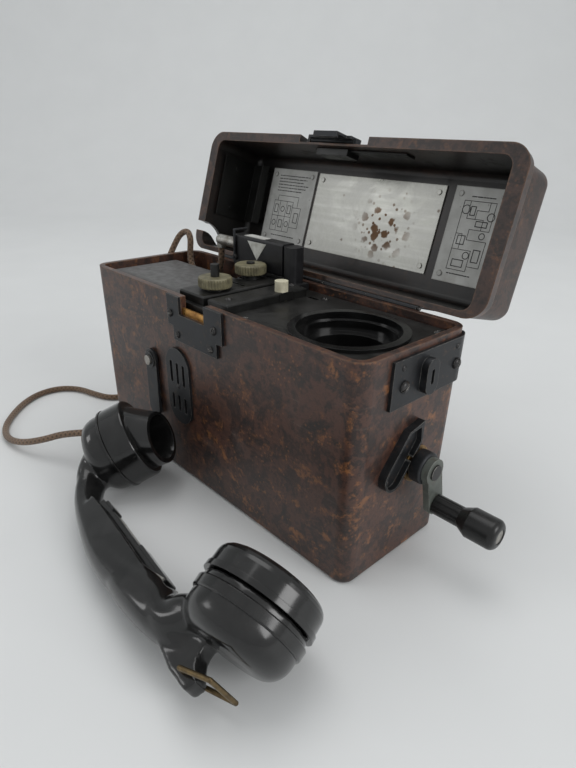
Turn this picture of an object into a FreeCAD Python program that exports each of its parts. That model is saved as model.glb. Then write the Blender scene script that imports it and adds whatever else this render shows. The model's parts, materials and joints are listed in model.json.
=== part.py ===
"""Portable magneto field telephone: hinged case, crank generator, ringer and corded handset.

Millimetres, +Z up. The origin is the centre of the case's bottom face. The front of the
case faces -Y and the crank is on the +X end. The lid is drawn closed and placed open.
"""
import FreeCAD, Part
import math
import os
import re
import Sketcher
from FreeCAD import Placement, Rotation, Vector

DIMENSIONS = {
    # case
    "case_length": 275.0,
    "case_depth": 96.0,
    "case_height": 141.0,
    "case_taper": 1.0,
    "case_corner": 11.0,
    "foot_round": 3.0,
    "wall": 4.0,
    "floor_thickness": 4.0,
    "plate_thickness": 2.0,
    "rim_gap": 0.3,
    # lid, drawn closed
    "lid_depth": 52.0,
    "lid_rear": 48.0,
    "lid_front": 48.0,
    "lid_taper": 1.5,
    "lid_round": 9.0,
    "bead_reach": 6.0,
    "bead_front": 2.7,
    "bead_height": 8.0,
    "lid_open_angle": 106.0,
    # hinge
    "hinge_offset": 49.5,
    "knuckle_radius": 1.9,
    "hinge_pin_radius": 1.0,
    "leaf_thickness": 1.2,
    "edge_round": 1.5,
    # deck
    "deck_level": 136.0,
    "deck_thickness": 4.0,
    "deck_left": -32.0,
    "bowl_place": 90.0,
    "bowl_offset": -3.0,
    "bowl_radius": 33.0,
    "block_height": 6.0,
    "stud_radius": 3.0,
    "nut_radius": 11.5,
    "nut_height": 7.0,
    "button_radius": 4.6,
    # crank and generator
    "shaft_offset": 8.0,
    "shaft_level": 65.0,
    "shaft_radius": 4.0,
    "bush_radius": 8.0,
    "running_fit": 0.05,
    "gear_module": 1.25,
    "gear_teeth": 48.0,
    "pinion_teeth": 12.0,
    "gear_width": 6.0,
    "gear_play": 0.3,
    "armature_radius": 11.0,
    "grip_drop": 24.5,
    "grip_shift": 6.0,
    "grip_neck_radius": 6.2,
    "grip_radius": 9.2,
    "grip_length": 41.0,
    # handset
    "handset_reach": 169.4,
    "handset_rise": 63.8,
    "transmitter_tilt": 36.8,
    "receiver_radius": 31.0,
    "transmitter_radius": 29.5,
    # cord
    "cord_radius": 2.6,
    "ferrule_radius": 4.3,
}

FINISHED = []
doc = FreeCAD.newDocument("FieldTelephone")


def make_sheet():
    """Write one aliased row for each driving dimension."""
    sheet = doc.addObject("Spreadsheet::Sheet", "Size")
    for row, (alias, number) in enumerate(DIMENSIONS.items(), start=1):
        sheet.set(f"A{row}", alias)
        sheet.set(f"B{row}", str(number))
        sheet.setAlias(f"B{row}", alias)
    doc.recompute()
    return sheet


SHEET = make_sheet()


def size(alias):
    """Read one dimension from the sheet."""
    return float(SHEET.get(alias))


def expression(formula):
    """Put the sheet's name before every alias in a formula."""
    return re.sub(
        r"[a-z][a-z_]+",
        lambda word: f"Size.{word[0]}" if word[0] in DIMENSIONS else word[0],
        str(formula),
    )


def bind(item, prop, formula):
    """Drive one property of an object by a formula of sheet aliases."""
    item.setExpression(prop, expression(formula))


def bind_base(item, at):
    """Drive the position of an object by three formulas."""
    for letter, formula in zip("xyz", at):
        bind(item, f"Placement.Base.{letter}", formula)


# ---------------------------------------------------------------- primitives and booleans


def box(name, x_range, y_range, z_range):
    """A box between two formulas along each axis."""
    item = doc.addObject("Part::Box", name)
    for prop, (low, high) in zip(("Length", "Width", "Height"), (x_range, y_range, z_range)):
        bind(item, prop, f"({high}) - ({low})")
    bind_base(item, (x_range[0], y_range[0], z_range[0]))
    return item


AXES = {"X": Vector(1, 0, 0), "Y": Vector(0, 1, 0), "Z": Vector(0, 0, 1)}


def pointed(axis):
    """A rotation that turns +Z onto a named or given axis."""
    return Rotation(Vector(0, 0, 1), AXES[axis] if isinstance(axis, str) else axis)


def rod(name, radius, start, axis, length):
    """A cylinder from a start point along a named or given axis."""
    item = doc.addObject("Part::Cylinder", name)
    bind(item, "Radius", radius)
    bind(item, "Height", length)
    item.Placement = Placement(Vector(), pointed(axis))
    bind_base(item, start)
    return item


def cone(name, radii, start, axis, length):
    """A cone frustum from a start point along a named or given axis."""
    item = doc.addObject("Part::Cone", name)
    bind(item, "Radius1", radii[0])
    bind(item, "Radius2", radii[1])
    bind(item, "Height", length)
    item.Placement = Placement(Vector(), pointed(axis))
    bind_base(item, start)
    return item


def ball(name, radius, centre):
    """A sphere about a centre."""
    item = doc.addObject("Part::Sphere", name)
    bind(item, "Radius", radius)
    bind_base(item, centre)
    return item


def fuse(name, *members):
    """Join objects into one solid."""
    item = doc.addObject("Part::MultiFuse", name)
    item.Shapes = list(members)
    item.Refine = True
    return item


def cut(name, base, *tools):
    """Take one or more tools away from a base."""
    item = doc.addObject("Part::Cut", name)
    item.Base = base
    item.Tool = tools[0] if len(tools) == 1 else fuse(f"{name}_tools", *tools)
    item.Refine = True
    return item


def common(name, *members):
    """Keep what the objects share."""
    item = doc.addObject("Part::MultiCommon", name)
    item.Shapes = list(members)
    return item


def rounded(name, base, radius, chosen):
    """Fillet the edges of a base that a test picks."""
    doc.recompute()
    picked = [(number, size(radius), size(radius))
              for number, edge in enumerate(base.Shape.Edges, start=1) if chosen(edge)]
    item = doc.addObject("Part::Fillet", name)
    item.Base = base
    item.Edges = picked
    return item


def along(axis):
    """A test for straight edges that run along an axis."""
    def chosen(edge):
        straight = edge.Curve.TypeId == "Part::GeomLine"
        return straight and abs(edge.tangentAt(edge.FirstParameter).dot(AXES[axis])) > 0.99
    return chosen


def at_height(level):
    """A test for edges that lie at one height."""
    def chosen(edge):
        bounds = edge.BoundBox
        return abs(bounds.ZMin - level) < 0.01 and abs(bounds.ZMax - level) < 0.01
    return chosen


def shaped(name, shape):
    """A feature whose shape is made by Part functions."""
    item = doc.addObject("Part::Feature", name)
    item.Shape = shape
    return item


def finish(item, label, placement=None):
    """Name a sub-part, place it and list it for export."""
    item.Label = label
    if placement is not None:
        item.Placement = placement.multiply(item.Placement)
    FINISHED.append(item)
    return item


# ---------------------------------------------------------------- sketched bodies


def origin_plane(body, role):
    """Find a body's own origin plane by its role."""
    return next(part for part in body.Origin.OriginFeatures if part.Role == role)


def rounded_outline(sketch, length, depth, corner):
    """Draw a rounded rectangle about the sketch's origin and bind its three sizes."""
    doc.recompute()
    half_x, half_y, radius = 40.0, 30.0, 5.0
    corners = (
        (half_x - radius, -half_y + radius, -90),
        (half_x - radius, half_y - radius, 0),
        (-half_x + radius, half_y - radius, 90),
        (-half_x + radius, -half_y + radius, 180),
    )
    ends = (
        (Vector(-half_x + radius, -half_y, 0), Vector(half_x - radius, -half_y, 0)),
        (Vector(half_x, -half_y + radius, 0), Vector(half_x, half_y - radius, 0)),
        (Vector(half_x - radius, half_y, 0), Vector(-half_x + radius, half_y, 0)),
        (Vector(-half_x, half_y - radius, 0), Vector(-half_x, -half_y + radius, 0)),
    )
    for (start, end), (centre_x, centre_y, angle) in zip(ends, corners):
        sketch.addGeometry(Part.LineSegment(start, end), False)
        circle = Part.Circle(Vector(centre_x, centre_y, 0), Vector(0, 0, 1), radius)
        turn = math.radians(angle)
        sketch.addGeometry(Part.ArcOfCircle(circle, turn, turn + math.pi / 2), False)
    for side in range(4):
        line, arc, following = 2 * side, 2 * side + 1, (2 * side + 2) % 8
        sketch.addConstraint(Sketcher.Constraint("Tangent", line, 2, arc, 1))
        sketch.addConstraint(Sketcher.Constraint("Tangent", arc, 2, following, 1))
    for line, direction in ((0, "Horizontal"), (2, "Vertical"), (4, "Horizontal"), (6, "Vertical")):
        sketch.addConstraint(Sketcher.Constraint(direction, line))
    for arc in (3, 5, 7):
        sketch.addConstraint(Sketcher.Constraint("Equal", 1, arc))
    sketch.addConstraint(Sketcher.Constraint("Symmetric", 0, 1, 4, 1, -1, 1))
    driving = (
        ("outline_corner", Sketcher.Constraint("Radius", 1, radius), corner),
        ("outline_length", Sketcher.Constraint("DistanceX", 6, 1, 2, 1, 2 * half_x), length),
        ("outline_depth", Sketcher.Constraint("DistanceY", 0, 1, 4, 1, 2 * half_y), depth),
    )
    for name, constraint, formula in driving:
        index = sketch.addConstraint(constraint)
        sketch.renameConstraint(index, name)
        bind(sketch, f"Constraints.{name}", formula)


def tapered_box(name, outline, height, taper, at, round_radius=None, round_top=False):
    """A body padded from a rounded outline, widening with a positive taper."""
    body = doc.addObject("PartDesign::Body", name)
    sketch = body.newObject("Sketcher::SketchObject", f"{name}_outline")
    sketch.AttachmentSupport = [(origin_plane(body, "XY_Plane"), "")]
    sketch.MapMode = "FlatFace"
    rounded_outline(sketch, *outline)
    pad = body.newObject("PartDesign::Pad", f"{name}_pad")
    pad.Profile = sketch
    bind(pad, "Length", height)
    bind(pad, "TaperAngle", taper)
    doc.recompute()
    if round_radius:
        level = pad.Shape.BoundBox.ZMax if round_top else pad.Shape.BoundBox.ZMin
        chosen = at_height(level)
        names = [f"Edge{number}" for number, edge in enumerate(pad.Shape.Edges, start=1) if chosen(edge)]
        fillet = body.newObject("PartDesign::Fillet", f"{name}_round")
        fillet.Base = (pad, names)
        bind(fillet, "Radius", round_radius)
    bind_base(body, at)
    doc.recompute()
    return body


# ---------------------------------------------------------------- case


FOOT_LENGTH = "case_length - 2 * case_height * tan(case_taper)"
FOOT_DEPTH = "case_depth - 2 * case_height * tan(case_taper)"
FOOT_CORNER = "case_corner - case_height * tan(case_taper)"
HINGE_LEVEL = "case_height + rim_gap"


def case_outer(name, growth="0"):
    """The solid outer form of the case, grown evenly by a formula."""
    return tapered_box(
        name,
        (f"{FOOT_LENGTH} + 2 * ({growth})", f"{FOOT_DEPTH} + 2 * ({growth})", f"{FOOT_CORNER} + ({growth})"),
        "case_height",
        "case_taper",
        ("0", "0", "0"),
        round_radius="foot_round" if growth == "0" else None,
    )


def case_hollow():
    """The space inside the case, open at the top."""
    return tapered_box(
        "case_hollow",
        (f"{FOOT_LENGTH} - 2 * wall", f"{FOOT_DEPTH} - 2 * wall", f"{FOOT_CORNER} - wall"),
        "case_height + 5",
        "case_taper",
        ("0", "0", "floor_thickness"),
    )


def oblong(name, centre_x, z_range, half_width, y_range):
    """An upright oblong with round ends, through the front wall."""
    middle = box(f"{name}_middle", (f"{centre_x} - {half_width}", f"{centre_x} + {half_width}"), y_range,
                 (f"{z_range[0]} + {half_width}", f"{z_range[1]} - {half_width}"))
    depth = f"({y_range[1]}) - ({y_range[0]})"
    low_end = (centre_x, y_range[0], f"{z_range[0]} + {half_width}")
    high_end = (centre_x, y_range[0], f"{z_range[1]} - {half_width}")
    low = rod(f"{name}_low", half_width, low_end, "Y", depth)
    high = rod(f"{name}_high", half_width, high_end, "Y", depth)
    return fuse(name, middle, low, high)


def grille_slots(name):
    """Three long and three short slots for the sound of the bell."""
    slots = []
    for column in (-31.5, -24.0, -16.5):
        for low, high in ((76, 92), (55, 67)):
            slots.append(box(f"{name}_{len(slots)}", (column - 1.4, column + 1.4), (-60, -40), (low, high)))
    return fuse(name, *slots)


def make_case(outer):
    """The moulded case with partition, hinge pad and its openings."""
    shell = cut("case_walls", outer, case_hollow())
    inside_y = "case_depth / 2 - wall - 1.2"
    partition = box("case_partition", (-38, -35), (f"-({inside_y})", inside_y), ("floor_thickness - 1", 120))
    hinge_pad = box("case_hinge_pad", (-104, 104), ("case_depth / 2 - wall", "case_depth / 2"), (116, 140))
    ledges = [box(f"case_ledge_{side}", (60, 122), span, (122, "deck_level - deck_thickness"))
              for side, span in enumerate(((-45.4, -40.5), (40.5, 45.4)))]
    body = fuse("case_moulding", shell, partition, hinge_pad, *ledges)
    latch_notch = box("case_latch_notch", (-16, 12), (-60, -40), (129, "case_height + 5"))
    groove = rod("case_hinge_groove", "knuckle_radius + 0.1", (-104, "hinge_offset", HINGE_LEVEL), "X", 208)
    bush_hole = rod("case_bush_hole", "bush_radius", (120, "shaft_offset", "shaft_level"), "X", 30)
    jack_hole = rod("case_jack_hole", 5.0, (-58, -60, 57), "Y", 20)
    item = cut("case_body", body, latch_notch, groove, bush_hole, jack_hole, grille_slots("case_slots"))
    return finish(item, "case_body")


def skin_plate(name, jacket, outer, region, *holes):
    """A plate that follows the tapered wall inside a region."""
    plate = common(f"{name}_skin", jacket, region)
    return cut(name, plate, outer, *holes)


def make_front_fittings(jacket, outer):
    """Latch plate, brass catch, bell grille and the socket of the extra earpiece."""
    region = fuse(
        "latch_region",
        box("latch_region_high", (-30, 30), (-60, -40), (120, 141)),
        box("latch_region_low", (-24, 24), (-60, -40), (110, 121)),
    )
    window = box("latch_window", (-16, 12), (-60, -40), (129, 150))
    finish(skin_plate("front_latch_plate", jacket, outer, region, window), "front_latch_plate")
    finish(box("latch_catch", (-15.8, 11.8), (-46.9, -45.4), (129, 133.5)), "latch_catch")
    grille_region = oblong("grille_region", "-24", ("45", "103"), "14", ("-60", "-40"))
    grille = skin_plate("bell_grille", jacket, outer, grille_region, grille_slots("grille_slots"))
    finish(grille, "bell_grille")
    collar = rod("jack_collar", 5.0, (-58, -46.2, 57), "Y", 12)
    finish(cut("jack_socket", collar, rod("jack_bore", 3.2, (-58, -60, 57), "Y", 22)), "jack_socket")


def make_jack_cover(outer):
    """Swivelling cover over the socket, and the screw that it turns on."""
    plate = oblong("jack_cover_plate", "-58", ("39", "93"), "7", ("-50", "-48"))
    boss = rod("jack_cover_boss", 6.0, (-58, -51.2, 85), "Y", 2.2)
    hole = rod("jack_cover_hole", "2 + running_fit", (-58, -60, 85), "Y", 20)
    finish(cut("jack_cover", fuse("jack_cover_solid", plate, boss), hole), "jack_cover")
    stem = rod("jack_screw_stem", 2.0, (-58, -51.5, 85), "Y", 7.5)
    head = rod("jack_screw_head", 3.6, (-58, -53, 85), "Y", 1.7)
    finish(cut("jack_screw", fuse("jack_screw_solid", stem, head), outer), "jack_screw")


STRAP_STUD = (5.5, 122.5)


def upright_oblong(name, x_range, centre, half_sizes):
    """An upright oblong with round ends, through an end wall."""
    y, z = centre
    half_width, half_height = half_sizes
    straight = half_height - half_width
    length = x_range[1] - x_range[0]
    middle = box(f"{name}_middle", x_range, (y - half_width, y + half_width), (z - straight, z + straight))
    ends = [rod(f"{name}_end_{index}", half_width, (x_range[0], y, level), "X", length)
            for index, level in enumerate((z - straight, z + straight))]
    return fuse(f"{name}_oblong", middle, *ends)


def make_strap_fittings(jacket, outer):
    """Strap plate with its slotted stud on each end of the case."""
    for side, word in ((1, "right"), (-1, "left")):
        x_range = (125, 150) if side > 0 else (-150, -125)
        region = box(f"strap_region_{word}", x_range, (-24, 47), (109, 137))
        body_range = (136, 143.5) if side > 0 else (-143.5, -136)
        stud = upright_oblong(f"strap_stud_{word}", body_range, STRAP_STUD, (5.5, 10.5))
        slit = upright_oblong(f"strap_slit_{word}", x_range, STRAP_STUD, (1.3, 4.5))
        solid = fuse(f"strap_fitting_{word}", skin_plate(f"strap_skin_{word}", jacket, outer, region), stud)
        finish(cut(f"strap_plate_{word}", solid, outer, slit), f"strap_plate_{word}")


def tilted(name, profile_points, x_range):
    """A flat part on the crank end, extruded along X from a YZ outline."""
    wire = Part.makePolygon([Vector(x_range[0], y, z) for y, z in profile_points + profile_points[:1]])
    return shaped(name, Part.Face(wire).extrude(Vector(x_range[1] - x_range[0], 0, 0)))


def trough_prism(name, half_width, x_range, reach=0.0):
    """The leaf-shaped outline of the crank's stowage trough: round foot, narrowing head."""
    foot, head = Vector(0, -16, 66), Vector(0, 7.5, 94.5)
    axis = (head - foot).normalize()
    across = Vector(1, 0, 0).cross(axis)
    left, right = foot + across * half_width, foot - across * half_width
    tip = head + axis * reach
    shoulder = foot + axis * 26
    left_mid, right_mid = shoulder + across * half_width, shoulder - across * half_width
    low = foot - axis * half_width
    shift = Vector(x_range[0], 0, 0)
    points = [point + shift for point in (left, low, right, right_mid, tip, left_mid)]
    outline = [
        Part.Arc(points[0], points[1], points[2]).toShape(),
        Part.makeLine(points[2], points[3]),
        Part.makeLine(points[3], points[4]),
        Part.makeLine(points[4], points[5]),
        Part.makeLine(points[5], points[0]),
    ]
    face = Part.Face(Part.Wire(outline))
    return shaped(name, face.extrude(Vector(x_range[1] - x_range[0], 0, 0)))


def make_trough(outer):
    """Open trough on the end wall that the folded crank rests in."""
    shell = trough_prism("trough_block", 8.5, (134, 141.5))
    hollow = trough_prism("trough_hollow", 7.0, (138.0, 150), reach=-4)
    hub_room = rod("trough_hub_room", 12.2, (120, "shaft_offset", "shaft_level"), "X", 40)
    finish(cut("crank_trough", shell, hollow, outer, hub_room), "crank_trough")


# ---------------------------------------------------------------- hinge


def knuckles(name, spans, bore):
    """Hinge knuckles along the hinge axis, bored for the pin."""
    members = [rod(f"{name}_{index}", "knuckle_radius", (low, "hinge_offset", HINGE_LEVEL), "X", high - low)
               for index, (low, high) in enumerate(spans)]
    return fuse(name, *members), rod(f"{name}_bore", bore, (-120, "hinge_offset", HINGE_LEVEL), "X", 240)


CASE_KNUCKLES = ((-100, -60), (-20, 20), (60, 100))
LID_KNUCKLES = ((-59.6, -20.4), (20.4, 59.6))


def make_hinge(lid_pose):
    """The long rear hinge: one leaf on the case, one on the lid, and the pin."""
    barrel, bore = knuckles("case_barrel", CASE_KNUCKLES, "hinge_pin_radius")
    face = "case_depth / 2"
    leaf = box("case_leaf", (-100, 100), (face, f"{face} + leaf_thickness"), (118, 139))
    tongues = [box(f"case_leaf_{index}", span, (face, f"{face} + leaf_thickness"), (137, 140.4))
               for index, span in enumerate(CASE_KNUCKLES)]
    solid = fuse("case_leaf_solid", leaf, barrel, *tongues)
    finish(cut("case_hinge_leaf", solid, bore), "case_hinge_leaf")
    finish(rod("hinge_pin", "hinge_pin_radius", (-102, "hinge_offset", HINGE_LEVEL), "X", 204), "hinge_pin")
    barrel, bore = knuckles("lid_barrel", LID_KNUCKLES, "hinge_pin_radius + running_fit")
    leaf = box("lid_leaf", (-100, 100), ("lid_rear", "lid_rear + leaf_thickness"), (143.6, 164))
    tongues = [box(f"lid_leaf_{index}", span, ("lid_rear", "lid_rear + leaf_thickness"), (142.2, 146))
               for index, span in enumerate(LID_KNUCKLES)]
    solid = fuse("lid_leaf_solid", leaf, barrel, *tongues)
    finish(cut("lid_hinge_leaf", solid, bore), "lid_hinge_leaf", lid_pose)


# ---------------------------------------------------------------- lid


def cord_slot():
    """The slot in the lid's left end that swings over the cord as the lid closes."""
    axis_start = (-150, "hinge_offset", HINGE_LEVEL)
    outside = rod("cord_slot_outside", 24.8, axis_start, "X", 20)
    inside = rod("cord_slot_inside", 16.6, axis_start, "X", 20)
    reach = box("cord_slot_reach", (-150, -130), (20, 43), (140, 166))
    return common("cord_slot", cut("cord_slot_band", outside, inside), reach)


def make_lid(lid_pose):
    """The lid shell with its outer bead, latch gap and cord notch."""
    depth = "lid_front + lid_rear"
    centre = ("0", "(lid_rear - lid_front) / 2", HINGE_LEVEL)
    outer = tapered_box("lid_outer", ("case_length", depth, "case_corner"), "lid_depth", "-lid_taper",
                        centre, round_radius="lid_round", round_top=True)
    hollow = tapered_box("lid_hollow", ("case_length - 2 * wall", f"{depth} - 2 * wall", "case_corner - wall"),
                         "lid_depth - wall", "-lid_taper",
                         centre, round_radius="lid_round - wall", round_top=True)
    bead = tapered_box("lid_bead",
                       ("case_length + 2 * bead_reach", f"{depth} + bead_front", "case_corner + bead_front"),
                       "bead_height", "-8", ("0", "(lid_rear - lid_front - bead_front) / 2", HINGE_LEVEL))
    latch_gap = box("lid_latch_gap", (-36, 29), (-60, "2.4 - lid_front"), (140, 160))
    groove = rod("lid_hinge_groove", "knuckle_radius + 0.12", (-104, "hinge_offset", HINGE_LEVEL), "X", 208)
    solid = fuse("lid_solid", outer, bead)
    finish(cut("lid_shell", solid, hollow, latch_gap, cord_slot(), groove), "lid_shell", lid_pose)


LID_PLATES = (
    ("code_card", (-110, -56), (-34.5, 28.5), 0.8),
    ("writing_plate", (-53, 68), (-33.5, 27.5), 1.0),
    ("circuit_card", (75, 116), (-34.5, 29.5), 0.8),
)


def make_lid_plates(lid_pose):
    """The cards and the bright writing plate fixed flat inside the lid."""
    top = 141.3 + 48.0
    for name, x_range, y_range, thickness in LID_PLATES:
        plate = box(f"{name}_sheet", x_range, y_range, (top - thickness, top))
        rivets = [rod(f"{name}_rivet", 1.8, (x, y, top - thickness - 0.8), "Z", 1.2)
                  for x in (x_range[0] + 5, x_range[1] - 5) for y in (y_range[0] + 5, y_range[1] - 5)]
        finish(fuse(name, plate, *rivets), name, lid_pose)
    bracket_level = 141.3 + 8
    plate = box("side_bracket_plate", (-131.5, -130.3), (-34, 16), (bracket_level, 184))
    lip = box("side_bracket_lip", (-131.5, -112), (-34, 16), (182.8, 184))
    fold = box("side_bracket_fold", (-113.2, -112), (-34, 16), (176, 184))
    base = box("side_bracket_base", (-126, -114), (-30, 12), (184, top))
    rivets = [rod(f"side_bracket_rivet_{y}", 2.0, (-130.5, y, 164), "X", 1.2) for y in (-26, 8)]
    finish(fuse("lid_side_bracket", plate, lip, fold, base, *rivets), "lid_side_bracket", lid_pose)


def make_lid_latch(lid_pose):
    """Sprung latch in the gap of the lid's front bead, with its bracket and flat spring."""
    pivot = (-48.3, 147.0)
    pin = rod("latch_pin", 1.0, (-31, *pivot), "X", 47)
    lugs = [box(f"latch_lug_{index}", span, (-50.2, -45.6), (144.5, 149.5))
            for index, span in enumerate(((-31, -28.6), (13.6, 16)))]
    finish(fuse("latch_bracket", pin, *lugs), "latch_bracket", lid_pose)
    barrel = rod("latch_barrel", 2.1, (-28, *pivot), "X", 41)
    plate = box("latch_face", (-28, 13), (-51.0, -49.2), (141.6, 153))
    tongue = box("latch_tongue", (-13, 9), (-51.0, -49.4), (131, 142))
    hook = box("latch_hook", (-13, 9), (-50, -47.3), (131, 133))
    bore = rod("latch_bore", "1 + running_fit", (-40, *pivot), "X", 80)
    finish(cut("lid_latch", fuse("latch_solid", barrel, plate, tongue, hook), bore), "lid_latch", lid_pose)
    blade = box("latch_blade", (-26, 56), (-43.5, -42.3), (150, 160))
    block = box("latch_block", (-22, 8), (-43.5, -39), (147, 160))
    finish(fuse("latch_spring", blade, block), "latch_spring", lid_pose)


# ---------------------------------------------------------------- deck


BUTTON_PLACE = (17.5, 10.5)


def make_deck():
    """The deck plate over the works, with the spring seat of the test button under it."""
    deck_right = 131.6
    deck_half_depth = 42.6
    levels = ("deck_level - deck_thickness", "deck_level")
    plate = box("deck_plate", ("deck_left", deck_right), (-deck_half_depth, deck_half_depth), levels)
    corner = rounded("deck_round", plate, "wall", along("Z"))
    bowl_hole = rod("deck_bowl_hole", "bowl_radius", ("bowl_place", "bowl_offset", 120), "Z", 30)
    button_hole = rod("deck_button_hole", "button_radius + 0.1", (*BUTTON_PLACE, 120), "Z", 30)
    slot = box("deck_slot", (24, 34), (28, 31), (120, 150))
    drilled = cut("deck_drilled", corner, bowl_hole, button_hole, slot)
    x, y = BUTTON_PLACE
    seat = box("button_seat", (x - 10, x + 10), (y - 6, y + 6), (126, 127.5))
    hanger = box("button_hanger", (x - 10, x - 8), (y - 6, y + 6), (126, 133))
    coil = rod("button_coil", 3.0, (x, y, 127.5), "Z", 2.6)
    finish(fuse("deck_panel", drilled, seat, hanger, coil), "deck_panel")


def make_bowl():
    """The stepped bowl that holds the receiver when the set is packed."""
    place = ("bowl_place", "bowl_offset")
    body = rod("bowl_body", "bowl_radius", (*place, 104), "Z", 34)
    flange = rod("bowl_flange", "bowl_radius + 3", (*place, "deck_level"), "Z", 2)
    steps = [rod(f"bowl_step_{index}", radius, (*place, level), "Z", 50)
             for index, (radius, level) in enumerate(((31, 133), (29, 126), (23, 116), (15, 107)))]
    finish(cut("receiver_cradle", fuse("bowl_solid", body, flange), *steps), "receiver_cradle")


def make_battery():
    """The battery and its pressed cover on the left of the deck."""
    finish(box("battery", (-126, -44), (-34, 26), ("floor_thickness", 118)), "battery")
    outer = box("cover_outer", (-131, -34.6), (-42, 25), (120, 138))
    inner = box("cover_inner", (-129.8, -39.2), (-40.8, 23.8), (110, 136.8))
    outer_round = rounded("cover_outer_round", outer, "lid_round", at_height(138))
    inner_round = rounded("cover_inner_round", inner, "lid_round", at_height(136.8))
    trim = box("cover_trim", (-38.2, -30), (-60, 60), (100, "deck_level"))
    finish(cut("battery_cover", outer_round, inner_round, trim), "battery_cover")


NUT_PLACES = (
    # name, place, stud height, nut level above the block
    ("front", (-14, -21), 17, 1.7),
    ("rear", (-24, 18), 11.5, 3.2),
)
FLUTES = 36


def make_terminals():
    """Line terminals: block with its studs, and the round milled nuts."""
    top = "deck_level + block_height"
    block = rounded("block_round", box("block_blank", (-30, -3), (-39, 28), ("deck_level", top)),
                    "edge_round", at_height(142))
    groove = box("block_groove", (-32, -8), (-1.5, 0.5), (140, 150))
    studs = []
    for word, (x, y), height, lift in NUT_PLACES:
        studs.append(rod(f"stud_{word}", "stud_radius", (x, y, "deck_level + 1"), "Z", height + 5))
        reach = f"block_height - 1 + {lift} - 0.1"
        studs.append(rod(f"collar_{word}", 7.0, (x, y, "deck_level + 1"), "Z", reach))
        blank = rod(f"nut_blank_{word}", "nut_radius", (x, y, f"{top} + {lift}"), "Z", "nut_height")
        chamfer = rounded(f"nut_round_{word}", blank, "edge_round", lambda edge: edge.Closed)
        flutes = []
        for step in range(FLUTES):
            turn = 2 * math.pi * step / FLUTES
            reach = size("nut_radius") + 0.2
            place = (x + reach * math.cos(turn), y + reach * math.sin(turn), "deck_level")
            flutes.append(rod(f"nut_flute_{word}_{step}", 0.7, place, "Z", 30))
        bore = rod(f"nut_bore_{word}", "stud_radius + running_fit", (x, y, "deck_level"), "Z", 40)
        finish(cut(f"terminal_nut_{word}", chamfer, bore, *flutes), f"terminal_nut_{word}")
    finish(fuse("terminal_block", cut("terminal_moulding", block, groove), *studs), "terminal_block")
    strip = rounded("strip_round", box("strip_blank", (2, 22), (-39, 30), ("deck_level", top)),
                    "edge_round", at_height(142))
    hole = rod("strip_hole", "button_radius + 0.1", (*BUTTON_PLACE, 120), "Z", 40)
    finish(cut("switch_strip", strip, hole), "switch_strip")


def make_button():
    """Push button of the bell test."""
    finish(rod("test_button", "button_radius", (*BUTTON_PLACE, 134), "Z", 15), "test_button")


FERRULE_ELBOW = (-83.5, 36.6, 158.8)


def make_plug():
    """Line plug lying in its socket at the back of the deck, with its ferrule's elbow."""
    riser = box("socket_riser", (-4, 8), (30.1, 42.5), ("deck_level", 166))
    riser_round = rounded("socket_riser_round", riser, "wall", along("Z"))
    foot = box("socket_foot", (-30, 12), (30.6, 42.2), ("deck_level", 141))
    finish(fuse("plug_socket", riser_round, foot), "plug_socket")
    blank = box("plug_blank", (-60, -4), (30.6, 42.3), (144, 167))
    block = rounded("plug_block", blank, "edge_round", along("X"))
    clip_pin = rod("clip_pin", 1.0, (-57, 27.9, 150), "Y", 5)
    finish(fuse("plug_body", block, clip_pin), "plug_body")
    x, _, z = FERRULE_ELBOW
    arm = rod("ferrule_arm", "ferrule_radius", FERRULE_ELBOW, "X", -60 - x)
    elbow = ball("ferrule_elbow", "ferrule_radius", FERRULE_ELBOW)
    mouth = INNER_ROUTE[0]
    stub = rod("ferrule_stub", "cord_radius + 0.9", mouth, "Z", z - mouth[2])
    finish(fuse("plug_ferrule", arm, elbow, stub), "plug_ferrule")


def make_plug_clip():
    """Wire clip over the cord end of the plug, turning on the pin of the plug."""
    radius = 1.0
    pivot = Vector(-57, 29.4, 150)
    crown = Vector(-57, 29.4, 170.5)
    tip = Vector(-57, 41, 170.5)
    legs = [rod("clip_front", radius, tuple(pivot), "Z", crown.z - pivot.z),
            rod("clip_top", radius, tuple(crown), "Y", tip.y - crown.y),
            ball("clip_corner", radius, tuple(crown)),
            ball("clip_end", radius, tuple(tip)),
            rod("clip_eye", 2.2, (-57, 28.5, 150), "Y", 1.8)]
    hole = rod("clip_bore", "1 + running_fit", (-57, 20, 150), "Y", 30)
    finish(cut("plug_clip", fuse("clip_solid", *legs), hole), "plug_clip")


# ---------------------------------------------------------------- crank and generator


def spur_gear(name, teeth, centre, x_range, bore, turn):
    """A spur gear along X with straight-sided teeth and room for backlash."""
    module, play = size("gear_module"), size("gear_play")
    pitch_radius = module * teeth / 2
    outer, root = pitch_radius + 0.85 * module, pitch_radius - 1.25 * module
    half_pitch = math.pi / teeth
    slack = play / 2 / pitch_radius
    half_tip = half_pitch * 0.24
    half_root = half_pitch * 0.74 - slack
    points = []
    for tooth in range(teeth):
        middle = turn + 2 * half_pitch * tooth
        for radius, angle in ((root, -half_root), (outer, -half_tip), (outer, half_tip), (root, half_root)):
            points.append(Vector(x_range[0], centre[0] + radius * math.sin(middle + angle),
                                 centre[1] + radius * math.cos(middle + angle)))
    face = Part.Face(Part.makePolygon(points + points[:1]))
    solid = face.extrude(Vector(x_range[1] - x_range[0], 0, 0))
    hole = Part.makeCylinder(bore, 80, Vector(x_range[0] - 20, *centre), Vector(1, 0, 0))
    return shaped(name, solid.cut(hole))


GEAR_START = 111.0


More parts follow.
